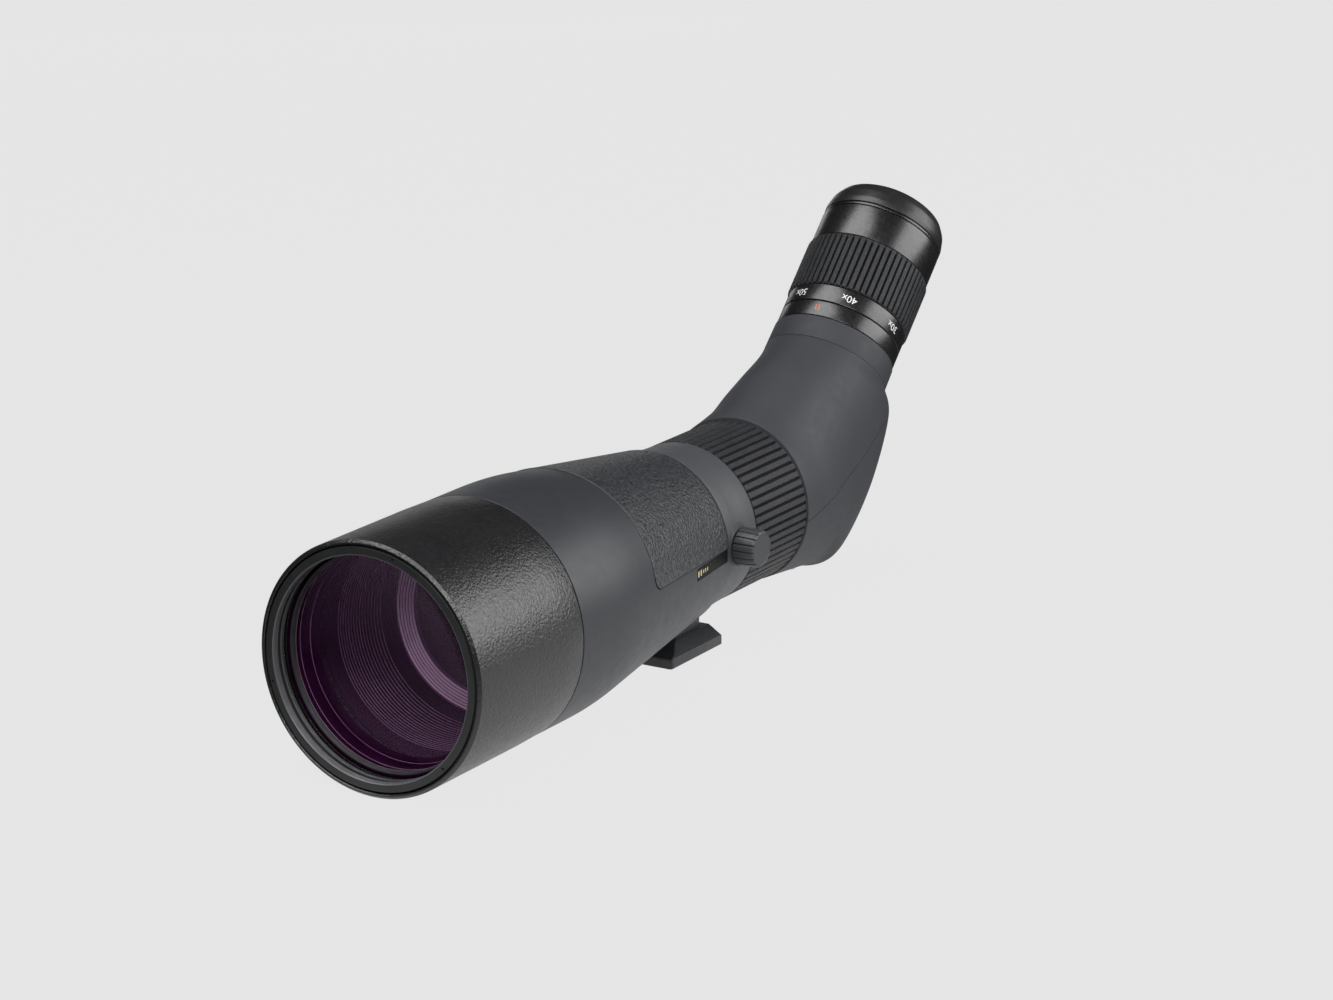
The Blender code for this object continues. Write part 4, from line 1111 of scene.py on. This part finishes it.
def make_eyepiece():
    """The eyepiece's rings, barrel and grip."""
    _, end, inner, outer = EYE.span("eyepiece_collar")
    turned_piece(
        "eyepiece_collar_ring",
        [
            (inner, HOUSING_TOP + 2.4, 0.1), (24.0, HOUSING_TOP + 2.4, 0.1), (24.0, HOUSING_TOP + 0.1, 0.1),
            (outer + 0.2, HOUSING_TOP + 0.1, 0.12), (outer, end, 0.4), (inner, end, 0.1),
        ],
        EYE, "housing_rubber", "armour_rubber", "scope_body", "eyepiece_collar", sharp=38.0,
    )
    eye_ring("zoom_index_ring", "index_ring", "scope_body", 0.3, 0.35)
    eye_ring("zoom_number_band", "zoom_number_ring", "zoom_ring", 0.35, 0.25)
    make_grip("zoom_grip", EYE, "zoom_ring", 1.0, 3.0, 1.1, 0.12, 1.2)
    eye_ring("eyepiece_barrel_satin", "eyepiece_barrel", "scope_body", 0.25, 0.3)


def zoom_figure(text, size, radius, angle, station, lift=0.04):
    """A printed figure wrapped round the number ring, with its top towards the scope's body."""
    name = f"zoom_figure_{text}"
    curve = bpy.data.curves.new(name, "FONT")
    curve.body = f"{text}x"
    curve.size = size
    curve.align_x = "CENTER"
    curve.align_y = "CENTER"
    curve.resolution_u = 6
    curve.extrude = lift / 2
    holder = link(name + "_line", curve)
    graph = bpy.context.evaluated_depsgraph_get()
    mesh = bpy.data.meshes.new_from_object(holder.evaluated_get(graph))
    bpy.data.objects.remove(holder)
    for vertex in mesh.vertices:
        x, y, z = vertex.co
        vertex.co = EYE.point(radius + lift / 2 + z, angle + x / radius, station - y)
    bm = bmesh.new()
    bm.from_mesh(mesh)
    bmesh.ops.remove_doubles(bm, verts=bm.verts, dist=1e-6)
    bmesh.ops.recalc_face_normals(bm, faces=bm.faces)
    bm.to_mesh(mesh)
    bm.free()
    dress(link(name, mesh), "white_print", "black_metal", "zoom_ring")


def make_scale():
    """The zoom scale's figures on the number ring and the red index mark on the ring below."""
    start, end, _, outer = EYE.span("zoom_number_ring")
    step, middle_angle = 51.5, 62.6
    for k, value in enumerate((60, 50, 40, 30, 20)):
        angle = math.radians(middle_angle + step * (2 - k))
        zoom_figure(value, 4.6, outer, angle, (start + end) / 2)
    start, end, _, outer = EYE.span("index_ring")
    station = (start + end) / 2 + 0.3
    for k, offset in enumerate((-0.75, 0.75)):
        angle = math.radians(87.9) + offset / outer
        half_turn, half_length = 0.22 / outer, 1.35

        def place(u, v, w, angle=angle):
            return EYE.point(outer + w, angle + u + v * 0.12 / outer, station + v)

        outline = rounded_rectangle(-half_turn, -half_length, half_turn, half_length, 0.0)
        mark = prism(f"zoom_index_mark_{k}", outline, -0.02, 0.05, place)
        dress(mark, "red_print", "black_metal", "scope_body")


def make_eyecup():
    """The twist-up eyecup: its sleeve's rim and the rubber cup with a deep rounded lip."""
    start, end, inner, outer = EYE.span("eyecup_sleeve")
    turned_piece(
        "eyecup_sleeve_rim",
        [
            (inner, start, 0.2), (23.9, start, 0.2), (23.9, end - 1.2, 0.1), (outer, end - 1.2, 0.25),
            (outer, end, 0.25), (inner, end, 0.2),
        ],
        EYE, "black_metal", "black_metal", "eyecup", "eyecup_sleeve", sharp=38.0,
    )
    start, end, inner, outer = EYE.span("eyecup_rubber")
    turned_piece(
        "eyecup_rubber_cup",
        [
            (20.0, start, 0.2), (outer, start, 0.3), (outer, start + 2.6, 4.0), (25.7, start + 7.1, 6.0),
            (23.3, start + 11.1, 4.0), (20.6, end, 1.4), (18.6, end - 0.2, 1.0), (18.2, end - 2.0, 1.2),
            (20.0, start + 5.0, 2.0),
        ],
        EYE, "eyecup_rubber", "eyecup_rubber", "eyecup", "eyecup_rubber", sharp=50.0,
    )
    make_lens("eye_lens_polished", "eye_lens", EYE, (70.0, 60.0), (-1, 1), SMALL_TURN_STEPS)


# ---------------- carried-over CAD nodes


def dress_nodes():
    """Gives every CAD node that stays a procedural material by its kind."""
    finishes = {
        "coated_glass": ("field_lens", "focus_lens", "zoom_front_lens", "zoom_rear_lens"),
        "prism_glass": ("half_penta_prism", "roof_prism"),
        "body_metal": ("main_tube", "focus_ring_core", "zoom_ring_core", "zoom_cam_sleeve", "prism_bracket"),
        "black_metal": (
            "focus_cell", "focus_lens_retainer", "eyepiece_tube", "eye_lens_retainer",
            "zoom_front_cell", "zoom_rear_cell",
        ),
        "steel": (
            "clamp_screw", "foot_screw_left", "foot_screw_right", "foot_thread_insert", "focus_drive_pin",
            "cover_screw_left", "cover_screw_right", "eyepiece_mount_ring",
        ),
        "brass": ("clamp_pad",),
        "nylon": ("collar_liner", "eyecup_guide_sleeve"),
        "seal_rubber": ("objective_oring", "eyepiece_oring"),
    }
    for finish, names in finishes.items():
        for name in names:
            node = frame["nodes"][name]
            node.data.materials.clear()
            node.data.materials.append(MATERIALS[finish])


# ---------------- stage, lights and camera


def make_stage():
    """A wide pale floor just under the scope. It glows: evenly pale to the camera, and to the scope a painted
    pool of light, brightest round FLOOR_LIT and fading with distance.
    """
    size = 12.0
    level = cad_box[0][2] - 0.2 * MM
    mesh = bpy.data.meshes.new("studio_floor")
    corners = [(x * size, y * size, level) for x, y in ((-1, -1), (1, -1), (1, 1), (-1, 1))]
    mesh.from_pydata(corners, [], [(0, 1, 2, 3)])
    floor = link("studio_floor", mesh)
    white, dark = (1.0, 1.0, 1.0, 1.0), (0.008, 0.008, 0.008, 1.0)
    material = new_material(
        "studio_floor", Base_Color=dark, Roughness=0.9, Specular_IOR_Level=0.0, Emission_Color=white
    )
    shader = shader_of(material)
    distance = add(material, "ShaderNodeVectorMath", operation="LENGTH")
    away = add(material, "ShaderNodeVectorMath", operation="SUBTRACT")
    join(material, place_of(material), away.inputs[0])
    away.inputs[1].default_value = (*FLOOR_LIT, level)
    join(material, away.outputs["Vector"], distance.inputs[0])
    seen = spread(material, add(material, "ShaderNodeLightPath").outputs["Is Camera Ray"], 0.0, 1.0, 0.0, 1.0)
    near = spread(material, distance.outputs["Value"], FLOOR_NEAR, FLOOR_FAR, 0.17, 0.36)
    mix = add(material, "ShaderNodeMix", data_type="FLOAT")
    join(material, seen, mix.inputs[0])
    join(material, near, mix.inputs[2])
    mix.inputs[3].default_value = FLOOR_SEEN
    join(material, mix.outputs[0], shader.inputs["Emission Strength"])
    mesh.materials.append(material)


def direction_of(azimuth, elevation):
    """Towards a place seen from the scope. The azimuth runs from the objective's side round to +X."""
    a, e = math.radians(azimuth), math.radians(elevation)
    return Vector((math.sin(a) * math.cos(e), -math.cos(a) * math.cos(e), math.sin(e)))


def make_lights():
    """The soft boxes, and a dim room that looks as pale as the floor to the camera."""
    world = bpy.data.worlds.new("studio")
    bpy.context.scene.world = world
    world.use_nodes = True
    tree = world.node_tree
    background = tree.nodes["Background"]
    path = tree.nodes.new("ShaderNodeLightPath")
    strength = tree.nodes.new("ShaderNodeMapRange")
    strength.inputs["To Min"].default_value = SKY
    strength.inputs["To Max"].default_value = FLOOR_SEEN
    tree.links.new(path.outputs["Is Camera Ray"], strength.inputs["Value"])
    tree.links.new(strength.outputs["Result"], background.inputs["Strength"])
    background.inputs["Color"].default_value = (1.0, 1.0, 1.0, 1.0)
    for name, azimuth, elevation, distance, size, radiance in SOFTBOXES:
        data = bpy.data.lights.new(name, "AREA")
        data.shape = "RECTANGLE"
        data.size, data.size_y = size
        data.energy = math.pi * size[0] * size[1] * radiance
        direction = direction_of(azimuth, elevation)
        light = link(name, data)
        light.location = Vector((0.0, 0.0, RIM.z)) + direction * distance
        light.rotation_euler = (-direction).to_track_quat("-Z", "Y").to_euler()
        light.visible_camera = False


def make_camera():
    """The camera, from its azimuth, elevation and roll about the scope."""
    data = bpy.data.cameras.new("camera")
    data.sensor_width = 36.0
    data.lens = CAMERA_LENS
    data.clip_end = 50.0
    camera = link("camera", data)
    roll = math.radians(CAMERA_ROLL)
    back = direction_of(CAMERA_AZIMUTH, CAMERA_ELEVATION)
    right = (-back).cross(Vector((0.0, 0.0, 1.0))).normalized()
    up = back.cross(right)
    tilted_right = math.cos(roll) * right - math.sin(roll) * up
    tilted_up = math.sin(roll) * right + math.cos(roll) * up
    turn = Matrix((tilted_right, tilted_up, back)).transposed()
    camera.matrix_world = Matrix.Translation(CAMERA_PLACE) @ turn.to_4x4()
    bpy.context.scene.camera = camera


make_camera()
make_lights()
make_stage()
make_sunshade()
make_objective()
make_baffles()
make_armour()
make_collar()
make_knob()
make_foot()
make_grip("focus_grip", MAIN, "focus_ring", 1.15, 0.9, 0.22, 0.10, 0.5)
make_housing()
make_eyepiece()
make_scale()
make_eyecup()
dress_nodes()

bpy.context.scene.view_settings.view_transform = "Standard"
